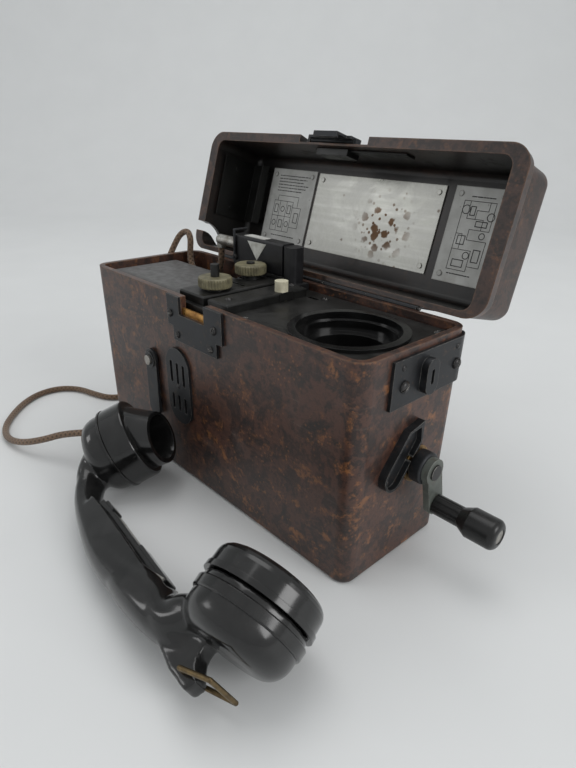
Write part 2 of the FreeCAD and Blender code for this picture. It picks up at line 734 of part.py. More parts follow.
def make_generator():
    """Magnets, frame, gear train and armature of the hand generator."""
    shaft = (size("shaft_offset"), size("shaft_level"))
    module = size("gear_module")
    teeth, pinion_teeth = int(size("gear_teeth")), int(size("pinion_teeth"))
    distance = module * (teeth + pinion_teeth) / 2 + 0.1
    armature = (shaft[0], shaft[1] - distance)
    plates = []
    for index, (low, high, top) in enumerate(((46, 50, 52), (102, 106, 84), (122, 126, 84))):
        plates.append(box(f"frame_plate_{index}", (low, high), (-24, 40), (6, top)))
    base = box("frame_base", (46, 126), (-30, 40), ("floor_thickness", 7))
    bores = [rod("frame_shaft_bore", "shaft_radius + running_fit", (90, *shaft), "X", 50),
             rod("frame_armature_bore", "2.5 + running_fit", (30, *armature), "X", 120)]
    finish(cut("generator_frame", fuse("frame_solid", base, *plates), *bores), "generator_frame")
    magnets = []
    for low in (54, 70, 86):
        block = box(f"magnet_block_{low}", (low, low + 12), (-12, 28), (7, 90))
        room = box(f"magnet_room_{low}", (low - 1, low + 13), (-4, 20), (0, 80))
        pole = rod(f"magnet_pole_{low}", "armature_radius + 0.4", (low - 1, *armature), "X", 14)
        magnets.append(cut(f"magnet_{low}", block, room, pole))
    tie = box("magnet_tie", (50, 102), (-12, 28), (90, 93))
    finish(fuse("generator_magnets", tie, *magnets), "generator_magnets")
    core = rod("armature_core", "armature_radius", (54, *armature), "X", 44)
    axle = rod("armature_axle", 2.5, (44, *armature), "X", 84)
    gear_span = (GEAR_START, GEAR_START + size("gear_width"))
    gear = spur_gear("crank_gear", teeth, shaft, gear_span, size("shaft_radius"), 0.0)
    finish(gear, "crank_gear")
    pinion_turn = math.pi + math.pi / pinion_teeth
    pinion_span = (gear_span[0] - 1, gear_span[1] + 1)
    pinion = spur_gear("pinion", pinion_teeth, armature, pinion_span, 2.4, pinion_turn)
    finish(fuse("armature", core, axle, pinion), "armature")
    stem = rod("shaft_stem", "shaft_radius", (100, *shaft), "X", 52.6)
    nut = rod("shaft_nut", 4.8, (152, *shaft), "X", 1.2)
    finish(fuse("crank_shaft", stem, nut), "crank_shaft")


def make_crank(outer):
    """Bush, hub, arm and turning grip of the crank."""
    centre = ("shaft_offset", "shaft_level")
    barrel = rod("bush_barrel", "bush_radius", (127, *centre), "X", 12)
    collar = rod("bush_collar", "bush_radius + 3.4", (135, *centre), "X", 4)
    sleeve = rod("bush_sleeve", "bush_radius", (120, *centre), "X", 30)
    ring = cut("bush_ring", collar, outer, sleeve)
    bore = rod("bush_bore", "shaft_radius + running_fit", (120, *centre), "X", 40)
    finish(cut("shaft_bush", fuse("bush_solid", barrel, ring), bore), "shaft_bush")
    hub = rod("hub_blank", 10.0, (139.4, *centre), "X", 8.4)
    shaft_hole = rod("hub_hole", "shaft_radius", (120, *centre), "X", 60)
    finish(cut("crank_hub", rounded("hub_round", hub, "edge_round", lambda edge: edge.Closed), shaft_hole),
           "crank_hub")
    grip_y, grip_z = "shaft_offset + grip_shift", "shaft_level - grip_drop"
    hub_end = rod("arm_hub_end", 8.0, (147.8, *centre), "X", 4.2)
    grip_end = rod("arm_grip_end", 7.0, (147.8, grip_y, grip_z), "X", 4.2)
    drop, shift = size("grip_drop"), size("grip_shift")
    half = 6.8
    across = Vector(0, drop, shift).normalize() * half
    top = Vector(0, size("shaft_offset"), size("shaft_level"))
    low = top + Vector(0, shift, -drop)
    corners = (top + across, top - across, low - across, low + across)
    web_points = [(corner.y, corner.z) for corner in corners]
    web = tilted("arm_web", web_points, (147.8, 152.0))
    finish(cut("crank_arm", fuse("arm_solid", hub_end, grip_end, web),
               rod("arm_hole", "shaft_radius", (120, *centre), "X", 60),
               rod("arm_pin_hole", 2.5, (120, grip_y, grip_z), "X", 60)), "crank_arm")
    pin = rod("grip_pin_stem", 2.5, (147.8, grip_y, grip_z), "X", "grip_length + 2.2")
    head = rod("grip_pin_head", 4.2, ("grip_length + 149.9", grip_y, grip_z), "X", 1.7)
    finish(fuse("grip_pin", pin, head), "grip_pin")
    make_grip(grip_y, grip_z)


def make_grip(grip_y, grip_z):
    """Turned grip: fluted neck that swells to a round-ended barrel."""
    start = 152.4
    neck = rod("grip_neck", "grip_neck_radius", (start, grip_y, grip_z), "X", 17)
    swell = cone("grip_swell", ("grip_neck_radius", "grip_radius"), (start + 17, grip_y, grip_z), "X", 6)
    barrel = rod("grip_barrel", "grip_radius", (start + 23, grip_y, grip_z), "X", "grip_length - 23.4")
    solid = rounded("grip_round", fuse("grip_solid", neck, swell, barrel), "wall",
                    lambda edge: edge.Closed and edge.BoundBox.XMin > start + 30)
    flutes = []
    for step in range(8):
        turn = 2 * math.pi * step / 8
        flutes.append(rod(f"grip_flute_{step}", 1.2,
                          (start - 1, f"{grip_y} + {6.9 * math.cos(turn):.3f}",
                           f"{grip_z} + {6.9 * math.sin(turn):.3f}"), "X", 17))
    bore = rod("grip_bore", "2.5 + running_fit", (start - 5, grip_y, grip_z), "X", 80)
    recess = rod("grip_recess", 4.4, ("grip_length + 149.8", grip_y, grip_z), "X", 20)
    finish(cut("crank_grip", solid, bore, recess, *flutes), "crank_grip")


# ---------------------------------------------------------------- ringer and small works


def make_ringer():
    """Polarised bell: frame, two gongs and the clapper between them."""
    upright = box("ringer_upright", (-33, 33), (-8, -5), (10, 104))
    foot = box("ringer_foot", (-33, 33), (-8, 12), ("floor_thickness", 10))
    studs = [rod(f"gong_stud_{index}", 2.0, (x, -40, 72), "Y", 34) for index, x in enumerate((-17.5, 17.5))]
    pivot_pin = rod("clapper_pin", 1.5, (0, -16, 100), "Y", 10)
    gongs = []
    for index, x in enumerate((-17.5, 17.5)):
        gongs.append(cut(f"gong_bowl_{index}", ball(f"gong_outer_{index}", 15.0, (x, -24, 72)),
                         ball(f"gong_inner_{index}", 13.6, (x, -24, 72)),
                         box(f"gong_trim_{index}", (x - 20, x + 20), (-24, 0), (50, 95))))
    finish(fuse("ringer_frame", upright, foot, pivot_pin, *studs, *gongs), "ringer_frame")
    eye = rod("clapper_eye", 3.2, (0, -14, 100), "Y", 3)
    stem = box("clapper_stem", (-0.8, 0.8), (-13.6, -12), (74, 99))
    reach = rod("clapper_reach", 0.9, (0, -30, 74.5), "Y", 17.6)
    knob = ball("clapper_knob", 1.7, (0, -29.5, 74.5))
    bore = rod("clapper_bore", "1.5 + running_fit", (0, -20, 100), "Y", 20)
    finish(cut("clapper", fuse("clapper_solid", eye, stem, reach, knob), bore), "clapper")


def make_electrics():
    """Induction coil under the deck and the capacitor on the floor."""
    coil = rod("coil_winding", 9.0, (30, 26, 118), "X", 22)
    cheeks = [box(f"coil_cheek_{index}", (x, x + 3), (15, 37), (108, 132))
              for index, x in enumerate((28, 51))]
    finish(fuse("induction_coil", coil, *cheeks), "induction_coil")
    finish(box("capacitor", (-30, 28), (16, 40), ("floor_thickness", 58)), "capacitor")


# ---------------------------------------------------------------- handset


RECEIVER_CENTRE = Vector(138.5, -114.2, 38.2)
LONG_AXIS = Vector(0.982, 0.093, 0.167)
FACE_AXIS = Vector(-0.157, 0.889, 0.43)


def handset_pose():
    """Where the handset lies: X along the handle to the receiver, Y out of the receiver's face."""
    along_handle = Vector(LONG_AXIS).normalize()
    facing = (FACE_AXIS - along_handle * FACE_AXIS.dot(along_handle)).normalize()
    sideways = along_handle.cross(facing)
    return Placement(RECEIVER_CENTRE, Rotation(along_handle, facing, sideways, "XYZ"))


def turned(name, profile, origin, axis):
    """A turned solid from (distance along the axis, radius) pairs."""
    across = Vector(0, 0, 1)
    points = [origin + axis * reach + across * radius for reach, radius in profile]
    ends = [origin + axis * profile[-1][0], origin + axis * profile[0][0]]
    outline = points + [end for end in ends if end.distanceToPoint(points[-1]) > 1e-6]
    if points[0].distanceToPoint(outline[-1]) < 1e-6:
        outline = outline[:-1]
    face = Part.Face(Part.makePolygon(outline + outline[:1]))
    return shaped(name, face.revolve(origin, axis, 360))


def rounded_profile(start, end, radius, corner, steps=5):
    """Profile of a disc whose far edge is rounded, as (reach, radius) pairs."""
    pairs = [(start, radius)]
    sign = 1 if end > start else -1
    for step in range(steps + 1):
        turn = math.pi / 2 * step / steps
        pairs.append((end - sign * corner * (1 - math.sin(turn)), radius - corner * (1 - math.cos(turn))))
    return pairs


def transmitter_frame():
    """Origin and axis of the transmitter's cap in the handset's own frame."""
    tilt = math.radians(size("transmitter_tilt"))
    return Vector(-size("handset_reach"), size("handset_rise"), 0), Vector(math.sin(tilt), math.cos(tilt), 0)


HANDLE_SECTIONS = (
    # place along and across the handle, half width, half depth
    (-186, 34, 12.5, 8.5),
    (-174, 16, 12.0, 7.5),
    (-158, 3, 12.0, 8.0),
    (-141, -4.5, 12.5, 9.5),
    (-119, -12.5, 13.0, 11.0),
    (-85, -20, 13.5, 11.5),
    (-50, -23, 14.5, 11.5),
    (-18, -16, 16.0, 9.0),
)


def handle_loft():
    """The curved handle as a loft of ellipses along its middle line."""
    path = [Vector(x, y, 0) for x, y, _, _ in HANDLE_SECTIONS]
    sections = []
    for index, (_, _, half_width, half_depth) in enumerate(HANDLE_SECTIONS):
        before, after = path[max(index - 1, 0)], path[min(index + 1, len(path) - 1)]
        tangent = (after - before).normalize()
        depth_axis = Vector(0, 0, 1).cross(tangent)
        wire = Part.Wire(Part.Ellipse(Vector(), half_width, half_depth).toShape())
        wire.Placement = Placement(path[index], Rotation(Vector(0, 0, 1), depth_axis, tangent, "ZXY"))
        sections.append(wire)
    return Part.makeLoft(sections, True, False)


def handset_slab(name, outline, half_width):
    """A flat piece on the handset's middle plane, from an outline of (x, y) points."""
    points = [Vector(x, y, -half_width) for x, y in outline + outline[:1]]
    return shaped(name, Part.Face(Part.makePolygon(points)).extrude(Vector(0, 0, 2 * half_width)))


HORN_OUTLINE = ((-46, -32), (-18, -43.5), (-3, -46.5), (0, -41), (-7, -33), (-8, -22), (-40, -22))
RING_EYE = (-9, -40.5)
BAR_LINE = ((-144, 6.0), (-52, -17.8))


def make_handset(pose):
    """Handset shell, caps, capsules, talk bar and hanging ring."""
    centre, axis = transmitter_frame()
    receiver_axis = Vector(0, 1, 0)
    receiver_back = turned("receiver_back", rounded_profile(0, -25, size("receiver_radius") - 2, 12),
                           Vector(), receiver_axis)
    transmitter_back = turned("transmitter_back", rounded_profile(-17, -37, size("transmitter_radius") - 1.5, 12),
                              centre, axis)
    handle = shaped("handle", handle_loft())
    horn = handset_slab("horn", HORN_OUTLINE, 5.5)
    ring_bore = rod("horn_bore", "1.2 + running_fit", (*RING_EYE, -20), "Z", 40)
    start, end = (Vector(*point, 0) for point in BAR_LINE)
    below = Vector(-0.25, -0.97, 0) * 3.4
    bar_room = handset_bar("bar_room", start + below - Vector(3, 0, 0), end + below + Vector(3, 0, 0), 7.6, 20)
    receiver_room = turned("receiver_room", [(-16, 24), (5, 24)], Vector(), receiver_axis)
    transmitter_room = turned("transmitter_room", [(-31, 23), (-10, 23)], centre, axis)
    solid = fuse("handset_solid", receiver_back, transmitter_back, handle, horn)
    make_receiver(pose, receiver_axis)
    make_transmitter(pose, centre, axis)
    local = cut("handset_local", solid, receiver_room, transmitter_room, ring_bore, bar_room)
    doc.recompute()
    return local, finish(shaped("handset_shell", local.Shape.copy()), "handset_shell", pose)


def make_receiver(pose, axis):
    """Ear cap with sound holes, and the capsule behind it."""
    radius = size("receiver_radius")
    cap = turned("ear_cap_blank", [(0, radius), (3, radius), (3, radius - 0.8)]
                 + rounded_profile(3.2, 15.5, radius - 0.8, 6)[1:], Vector(), axis)
    room = turned("ear_cap_room", [(-1, 24), (10.5, 24)], Vector(), axis)
    dish = turned("ear_cap_dish", [(12, 9), (16.5, 18)], Vector(), axis)
    holes = [rod("ear_hole_middle", 1.5, (0, 0, 0), "Y", 30)]
    for step in range(6):
        turn = 2 * math.pi * step / 6
        holes.append(rod(f"ear_hole_{step}", 1.5, (6 * math.cos(turn), 0, 6 * math.sin(turn)), "Y", 30))
    finish(cut("receiver_cap", cap, room, dish, *holes), "receiver_cap", pose)
    finish(turned("receiver_capsule", [(-16, 23.4), (8, 23.4)], Vector(), axis), "receiver_capsule", pose)


def funnel(base, axis, base_radius, inset):
    """The leaning funnel of the mouthpiece: a loft from the cap's face to its tilted opening."""
    lean = math.radians(55)
    opening, facing = Vector(-150, 68, 0), Vector(math.sin(lean), math.cos(lean), 0)
    if inset:
        opening = opening + facing * 1.5
    rings = [Part.Wire(Part.Circle(point, normal, radius).toShape())
             for point, normal, radius in ((base, axis, base_radius), (opening, facing, 18.6 - inset))]
    return Part.makeLoft(rings, True, True)


def make_transmitter(pose, centre, axis):
    """Mouthpiece ring and horn, and the capsule behind it."""
    radius = size("transmitter_radius")
    cap = turned("mouth_cap_blank", rounded_profile(-17, 0, radius, 2.5), centre, axis)
    horn = shaped("mouth_horn_blank", funnel(centre - axis, axis, 25.0, 0.0))
    throat = shaped("mouth_throat", funnel(centre - axis * 4, axis, 7.0, 2.2))
    room = turned("mouth_cap_room", [(-20, 23), (-5, 23)], centre, axis)
    finish(cut("mouthpiece", fuse("mouth_solid", cap, horn), throat, room), "mouthpiece", pose)
    finish(turned("transmitter_capsule", [(-31, 22.4), (-8, 22.4)], centre, axis), "transmitter_capsule", pose)


def handset_bar(name, start, end, half_width, thickness):
    """A flat bar between two points of the handset's middle plane."""
    direction = (end - start).normalize()
    outward = Vector(0, 0, 1).cross(direction)
    corners = [start, end, end + outward * thickness, start + outward * thickness]
    face = Part.Face(Part.makePolygon([corner - Vector(0, 0, half_width) for corner in corners + corners[:1]]))
    return shaped(name, face.extrude(Vector(0, 0, 2 * half_width)))


def make_talk_bar(pose, shell):
    """Talk switch lever on the inner side of the handle, with its pivot block."""
    start, end = (Vector(*point, 0) for point in BAR_LINE)
    pivot = (end.x - 5, end.y + 3.2)
    bar = handset_bar("bar_blank", start, end, 6.0, 4.0)
    eye = rod("bar_eye", 3.0, (*pivot, -6), "Z", 12)
    bore = rod("bar_bore", "1.5 + running_fit", (*pivot, -30), "Z", 60)
    finish(cut("talk_bar", fuse("bar_solid", bar, eye), bore), "talk_bar", pose)
    cheeks = [box(f"bar_cheek_{index}", (pivot[0] - 4, pivot[0] + 4), (pivot[1] - 8, pivot[1] + 2.5), span)
              for index, span in enumerate(((-7.6, -6.3), (6.3, 7.6)))]
    pin = rod("bar_pin", 1.5, (*pivot, -7.6), "Z", 15.2)
    finish(cut("talk_bar_bracket", fuse("bar_bracket_solid", pin, *cheeks), shell), "talk_bar_bracket", pose)


def wire_loop(name, points, radius):
    """A closed wire ring through corner points with small round corners."""
    members = []
    count = len(points)
    for index in range(count):
        start, end = points[index], points[(index + 1) % count]
        step = end - start
        members.append(Part.makeCylinder(radius, step.Length, start, step))
        members.append(Part.makeSphere(radius, start))
    return shaped(name, members[0].multiFuse(members[1:]).removeSplitter())


def make_hang_ring(pose):
    """Brass ring for hanging the handset, free in the bore of the horn."""
    eye = Vector(*RING_EYE, 0)
    far = eye + Vector(20, 3, 0)
    corners = [eye - Vector(0, 0, 9), eye + Vector(0, 0, 9), far + Vector(0, 0, 12), far - Vector(0, 0, 12)]
    finish(wire_loop("hang_ring", corners, 1.2), "hang_ring", pose)


def make_gland(shell):
    """Strain relief where the cord leaves the handset."""
    mouth, before = Vector(*HANDSET_ROUTE[-1]), Vector(*HANDSET_ROUTE[-2])
    inward = (mouth - before).normalize()
    stem = rod("gland_stem", 4.6, tuple(mouth), inward, 13)
    finish(cut("cord_gland", stem, shell), "cord_gland")


# ---------------------------------------------------------------- cord


INNER_ROUTE = (
    (-83.5, 36.6, 152.5), (-83.5, 36.6, 143.5), (-85.6, 35.5, 133.5), (-94, 34, 127), (-104.5, 32.5, 124.5),
    (-115, 32, 126.5), (-124, 33, 133), (-127.5, 35.5, 143.5), (-128, 37, 153), (-134.3, 38.5, 158.8),
    (-141.1, 35, 155.4), (-143.2, 30, 146.5), (-145.5, 25.2, 136), (-147.3, 21.8, 126),
)
HANDSET_ROUTE = (
    (-147.3, 21.8, 126), (-149.64, 17.38, 113), (-151, 17.5, 86), (-152, 26, 54), (-155, 30, 27), (-161, 23, 9),
    (-167, 8, 3), (-169.5, -12, 2.7), (-177, -31, 2.7), (-196, -38.5, 2.7), (-216, -44, 2.7),
    (-230, -58, 2.7), (-231, -77, 2.7), (-221, -95, 2.7), (-204, -111.5, 2.7), (-183, -126, 2.7),
    (-160, -131.5, 4), (-138, -127.5, 8), (-119, -117, 15), (-103.5, -104.5, 23), (-86, -94.6, 27.5),
)


def cord_tube(name, route, radius):
    """A tube along straight runs joined by tangent arcs, with its radii and volume printed."""
    points = [Vector(*point) for point in route]
    edges, radii = [], []
    here = points[0]
    for before, corner, after in zip(points, points[1:], points[2:]):
        arriving, leaving = (corner - before), (after - corner)
        reach = 0.45 * min(arriving.Length, leaving.Length)
        turn = arriving.getAngle(leaving)
        radii.append(reach / math.tan(turn / 2))
        first = corner - arriving.normalize() * reach
        last = corner + leaving.normalize() * reach
        bisector = (first + last) * 0.5 - corner
        depth = radii[-1] / math.cos(turn / 2) - radii[-1]
        middle = corner + bisector.normalize() * depth
        edges.append(Part.LineSegment(here, first).toShape())
        edges.append(Part.Arc(first, middle, last).toShape())
        here = last
    edges.append(Part.LineSegment(here, points[-1]).toShape())
    path = Part.Wire(edges)
    ring = Part.Wire(Part.Circle(points[0], points[1] - points[0], radius).toShape())
    tube = path.makePipeShell([ring], True, False)
    expected = math.pi * radius ** 2 * path.Length
    print(name, "radii", [round(value, 1) for value in radii])
    print(name, "length", round(path.Length, 1), "volume", round(tube.Volume), "expected", round(expected))
    return shaped(name, tube)


# ---------------------------------------------------------------- the whole telephone


def build():
    """Build every sub-part in its place."""
    lid_pose = Placement(Vector(), Rotation(Vector(1, 0, 0), -size("lid_open_angle")),
                         Vector(0, size("hinge_offset"), size("case_height") + size("rim_gap")))
    outer = case_outer("case_outer")
    jacket = case_outer("case_jacket", "plate_thickness")
    make_case(outer)
    make_front_fittings(jacket, outer)
    make_jack_cover(outer)
    make_strap_fittings(jacket, outer)
    make_trough(outer)
    make_hinge(lid_pose)
    make_lid(lid_pose)
    make_lid_plates(lid_pose)
    make_lid_latch(lid_pose)
    make_deck()
    make_bowl()
    make_battery()
    make_terminals()
    make_button()
    make_plug()
    make_plug_clip()
    make_generator()
    make_crank(outer)
    make_ringer()
    make_electrics()
    pose = handset_pose()
    shell = make_handset(pose)
    make_talk_bar(pose, shell[0])
    make_hang_ring(pose)
    make_gland(shell[1])
    radius = size("cord_radius")
    finish(cord_tube("inner_lead", INNER_ROUTE, radius), "inner_lead")
    finish(cord_tube("handset_cord", HANDSET_ROUTE, radius), "handset_cord")


def check_and_export():
    """Stop on any failed object or bad solid, then write one STEP file for each sub-part."""
    doc.recompute()
    failed = [item.Name for item in doc.Objects if {"Invalid", "Error"} & set(item.State)]
    for item in FINISHED:
        shape = item.Shape
        if shape.isNull() or not shape.isValid() or len(shape.Solids) != 1:
            solids = 0 if shape.isNull() else len(shape.Solids)
            failed.append(f"{item.Label}: {solids} solids")
    if failed:
        raise RuntimeError("failed objects: " + ", ".join(failed))
    os.makedirs("parts", exist_ok=True)
    for item in FINISHED:
        item.Shape.exportStep(f"parts/{item.Label}.step")
    print(len(FINISHED), "sub-parts written")


build()
check_and_export()
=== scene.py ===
"""Looks of the portable crank telephone: materials, fine detail, cord, camera and light."""

import math
import random

import bmesh
import bpy
from mathutils import Matrix, Vector
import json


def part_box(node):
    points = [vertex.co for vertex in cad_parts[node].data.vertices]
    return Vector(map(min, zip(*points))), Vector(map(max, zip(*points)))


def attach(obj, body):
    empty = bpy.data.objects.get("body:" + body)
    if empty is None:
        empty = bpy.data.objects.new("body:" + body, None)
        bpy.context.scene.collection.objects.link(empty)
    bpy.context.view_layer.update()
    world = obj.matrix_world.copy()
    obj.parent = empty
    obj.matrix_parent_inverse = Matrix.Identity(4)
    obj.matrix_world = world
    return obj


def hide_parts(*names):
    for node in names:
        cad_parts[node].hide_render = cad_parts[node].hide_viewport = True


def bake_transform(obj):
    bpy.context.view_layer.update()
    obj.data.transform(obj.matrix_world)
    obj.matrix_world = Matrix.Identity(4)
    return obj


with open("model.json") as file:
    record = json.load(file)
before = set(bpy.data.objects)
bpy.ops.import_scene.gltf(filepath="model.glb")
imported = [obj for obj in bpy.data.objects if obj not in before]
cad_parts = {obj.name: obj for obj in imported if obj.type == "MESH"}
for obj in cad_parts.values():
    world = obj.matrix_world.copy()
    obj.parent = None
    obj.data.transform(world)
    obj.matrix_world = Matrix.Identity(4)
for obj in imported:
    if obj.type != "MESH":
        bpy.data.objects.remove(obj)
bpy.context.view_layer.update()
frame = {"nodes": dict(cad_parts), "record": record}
NODES = frame["nodes"]
MM = 0.001

# ---------------------------------------------------------------- camera and light

CAMERA_AZIMUTH = 46.424
CAMERA_ELEVATION = 24.633
CAMERA_ROLL = 1.225
CAMERA_PLACE = (0.28932, -0.24017, 0.24260)
CAMERA_LENS = 26.30
CAMERA_SENSOR = 36.0
CAMERA_NEAR = 0.01
CAMERA_FAR = 50.0


def add_camera():
    """The photograph's viewpoint."""
    azimuth, elevation, roll = map(
        math.radians, (CAMERA_AZIMUTH, CAMERA_ELEVATION, CAMERA_ROLL)
    )
    back = Vector(
        (
            math.sin(azimuth) * math.cos(elevation),
            -math.cos(azimuth) * math.cos(elevation),
            math.sin(elevation),
        )
    )
    level = Vector((0, 0, 1)).cross(back).normalized()
    up = back.cross(level)
    right = math.cos(roll) * level + math.sin(roll) * up
    top = math.cos(roll) * up - math.sin(roll) * level
    data = bpy.data.cameras.new("camera")
    data.lens = CAMERA_LENS
    data.sensor_width = CAMERA_SENSOR
    data.clip_start = CAMERA_NEAR
    data.clip_end = CAMERA_FAR
    camera = bpy.data.objects.new("camera", data)
    camera.matrix_world = Matrix.Translation(CAMERA_PLACE) @ Matrix(
        (right, top, back)
    ).transposed().to_4x4()
    bpy.context.scene.collection.objects.link(camera)
    bpy.context.scene.camera = camera


ROOM_COLOUR = (0.97, 0.99, 1.0, 1.0)
ROOM_STRENGTH = 0.58
LIGHT_TARGET = (0.0, 0.0, 0.1)
SOFTBOXES = (
    # name, place, width in metres, power in watts
    ("top_box", (-0.3, 0.2, 1.9), 1.3, 9.0),
    ("right_box", (1.9, 0.3, 1.0), 0.9, 14.0),
    ("left_box", (-1.10, -1.26, 0.80), 0.45, 2.0),
)


def add_softbox(name, place, size, power):
    """A square area light at place, facing the object."""
    data = bpy.data.lights.new(name, "AREA")
    data.size = size
    data.energy = power
    light = bpy.data.objects.new(name, data)
    aim = Vector(LIGHT_TARGET) - Vector(place)
    light.matrix_world = (
        Matrix.Translation(place) @ aim.to_track_quat("-Z", "Y").to_matrix().to_4x4()
    )
    bpy.context.scene.collection.objects.link(light)


def add_lights():
    """A pale room and three soft boxes. The left one gleams in the writing plate."""
    world = bpy.data.worlds.new("room")
    world.use_nodes = True
    background = world.node_tree.nodes["Background"]
    background.inputs["Color"].default_value = ROOM_COLOUR
    background.inputs["Strength"].default_value = ROOM_STRENGTH
    bpy.context.scene.world = world
    bpy.context.scene.view_settings.view_transform = "Standard"
    for name, place, size, power in SOFTBOXES:
        add_softbox(name, place, size, power)


FLOOR_HALF_WIDTH = 9.0
FLOOR_FRONT = -9.0
SWEEP_START = 1.2
SWEEP_RADIUS = 0.9
SWEEP_STEPS = 16
WALL_TOP = 3.0
PAPER_DARK = (0.735, 0.745, 0.745)
PAPER_PALE = (0.755, 0.765, 0.765)


def add_floor():
    """A pale sweep: a floor that curves up into a wall behind the object."""
    profile = [(FLOOR_FRONT, 0.0), (SWEEP_START, 0.0)]
    for step in range(1, SWEEP_STEPS + 1):
        turn = math.pi / 2 * step / SWEEP_STEPS
        reach = SWEEP_START + SWEEP_RADIUS * math.sin(turn)
        profile.append((reach, SWEEP_RADIUS * (1 - math.cos(turn))))
    profile.append((SWEEP_START + SWEEP_RADIUS, WALL_TOP))
    aim = math.radians(CAMERA_AZIMUTH)
    along = Vector((-math.sin(aim), math.cos(aim), 0))
    across = Vector((math.cos(aim), math.sin(aim), 0))
    mesh = bmesh.new()
    rows = []
    for reach, height in profile:
        middle = along * reach + Vector((0, 0, height))
        ends = [middle + across * side * FLOOR_HALF_WIDTH for side in (-1, 1)]
        rows.append([mesh.verts.new(end) for end in ends])
    for low, high in zip(rows, rows[1:]):
        mesh.faces.new((low[0], low[1], high[1], high[0]))
    data = bpy.data.meshes.new("floor")
    mesh.to_mesh(data)
    mesh.free()
    data.shade_smooth()
    floor = bpy.data.objects.new("floor", data)
    bpy.context.scene.collection.objects.link(floor)
    look = Look("paper_floor")
    grain = look.noise(scale=9.0, detail=3.0)
    look.shader_set("Base Color", look.ramp(grain, [(0.3, PAPER_DARK), (0.7, PAPER_PALE)]))
    look.shader_set("Roughness", 0.55)
    data.materials.append(look.material)


# ---------------------------------------------------------------- material graphs


class Look:
    """A material's node graph, with a method for each kind of node used."""

    def __init__(self, name):
        self.material = bpy.data.materials.new(name)
        self.material.use_nodes = True
        self.tree = self.material.node_tree
        self.shader = self.tree.nodes["Principled BSDF"]
        self.place = self.tree.nodes.new("ShaderNodeTexCoord").outputs["Object"]

    def node(self, kind, values=None, **settings):
        """A node of that kind; values are its sockets by name or number."""
        made = self.tree.nodes.new("ShaderNode" + kind)
        for key, value in settings.items():
            setattr(made, key, value)
        for key, value in (values or {}).items():
            self.put(made.inputs[key], value)
        return made

    def put(self, socket, value):
        """Links a socket, or sets its value."""
        if isinstance(value, bpy.types.NodeSocket):
            self.tree.links.new(value, socket)
        elif isinstance(value, tuple) and len(value) == 3 and socket.type == "RGBA":
            socket.default_value = value + (1.0,)
        else:
            socket.default_value = value

    def shader_set(self, socket, value):
        self.put(self.shader.inputs[socket], value)

    def stretched(self, scale, turn=(0.0, 0.0, 0.0)):
        """The object's coordinates, turned and scaled."""
        made = self.node(
            "Mapping", {"Vector": self.place, "Scale": scale, "Rotation": turn}
        )
        return made.outputs[0]

    def noise(self, scale, detail=4.0, distortion=0.0, roughness=0.55, place=None):
        values = {
            "Vector": place or self.place,
            "Scale": scale,
            "Detail": detail,
            "Distortion": distortion,
            "Roughness": roughness,
        }
        return self.node("TexNoise", values).outputs[0]

    def cells(self, scale):
        """The distance to the nearest of some scattered points."""
        values = {"Vector": self.place, "Scale": scale, "Randomness": 1.0}
        return self.node("TexVoronoi", values).outputs["Distance"]

    def ramp(self, factor, stops):
        """Colours along a factor."""
        made = self.node("ValToRGB", {0: factor})
        elements = made.color_ramp.elements
        while len(elements) < len(stops):
            elements.new(0.5)
        for element, (position, colour) in zip(elements, stops):
            element.position = position
            element.color = colour + (1.0,)
        return made.outputs[0]

    def band(self, factor, low, high, start=0.0, end=1.0):
        """A number that goes from start at low to end at high."""
        values = {
            "Value": factor,
            "From Min": low,
            "From Max": high,
            "To Min": start,
            "To Max": end,
        }
        return self.node("MapRange", values, interpolation_type="SMOOTHSTEP").outputs[0]

    def maths(self, operation, *values):
        return self.node("Math", dict(enumerate(values)), operation=operation).outputs[0]

    def times(self, a, b):
        return self.maths("MULTIPLY", a, b)

    def plus(self, a, b):
        return self.maths("ADD", a, b)

    def mix(self, factor, a, b):
        """Colour a where the factor is nought and colour b where it is one."""
        return self.node("MixRGB", {0: factor, 1: a, 2: b}).outputs[0]

    def edges(self, radius):
        """One at sharp edges and nought on flats."""
        rounded = self.node("Bevel", {"Radius": radius}, samples=4).outputs[0]
        plain = self.node("NewGeometry").outputs["Normal"]
        match = self.node("VectorMath", {0: rounded, 1: plain}, operation="DOT_PRODUCT")
        bend = self.maths("SUBTRACT", 1.0, match.outputs["Value"])
        return self.band(bend, 0.02, 0.25)

    def relief(self, height, strength, distance, rounding=0.0):
        """A bump on the surface, over edges rounded by that radius."""
        values = {"Height": height, "Strength": strength, "Distance": distance}
        if rounding:
            rounded = self.node("Bevel", {"Radius": rounding}, samples=4)
            values["Normal"] = rounded.outputs[0]
        self.shader_set("Normal", self.node("Bump", values).outputs[0])

    def facing_up(self):
        """One where the surface faces upward, where dust settles."""
        normal = self.node("NewGeometry").outputs["Normal"]
        parts = self.node("SeparateXYZ", {0: normal})
        return self.band(parts.outputs[2], 0.3, 0.95)


WORN_BAKELITE = (0.21, 0.115, 0.068)
SOOT = (0.011, 0.009, 0.009)
SCRATCH = (0.20, 0.16, 0.13)
SCUFF = (0.16, 0.125, 0.115)
BLOOM = (0.12, 0.095, 0.085)
# The near-black of the painted shade laid into hollows.
HOLLOW_SHADE = (0.008, 0.0075, 0.007)
DUST = (0.30, 0.28, 0.26)
RUST_STAIN = (0.10, 0.06, 0.04)
RUST_SPOT = (0.075, 0.042, 0.022)


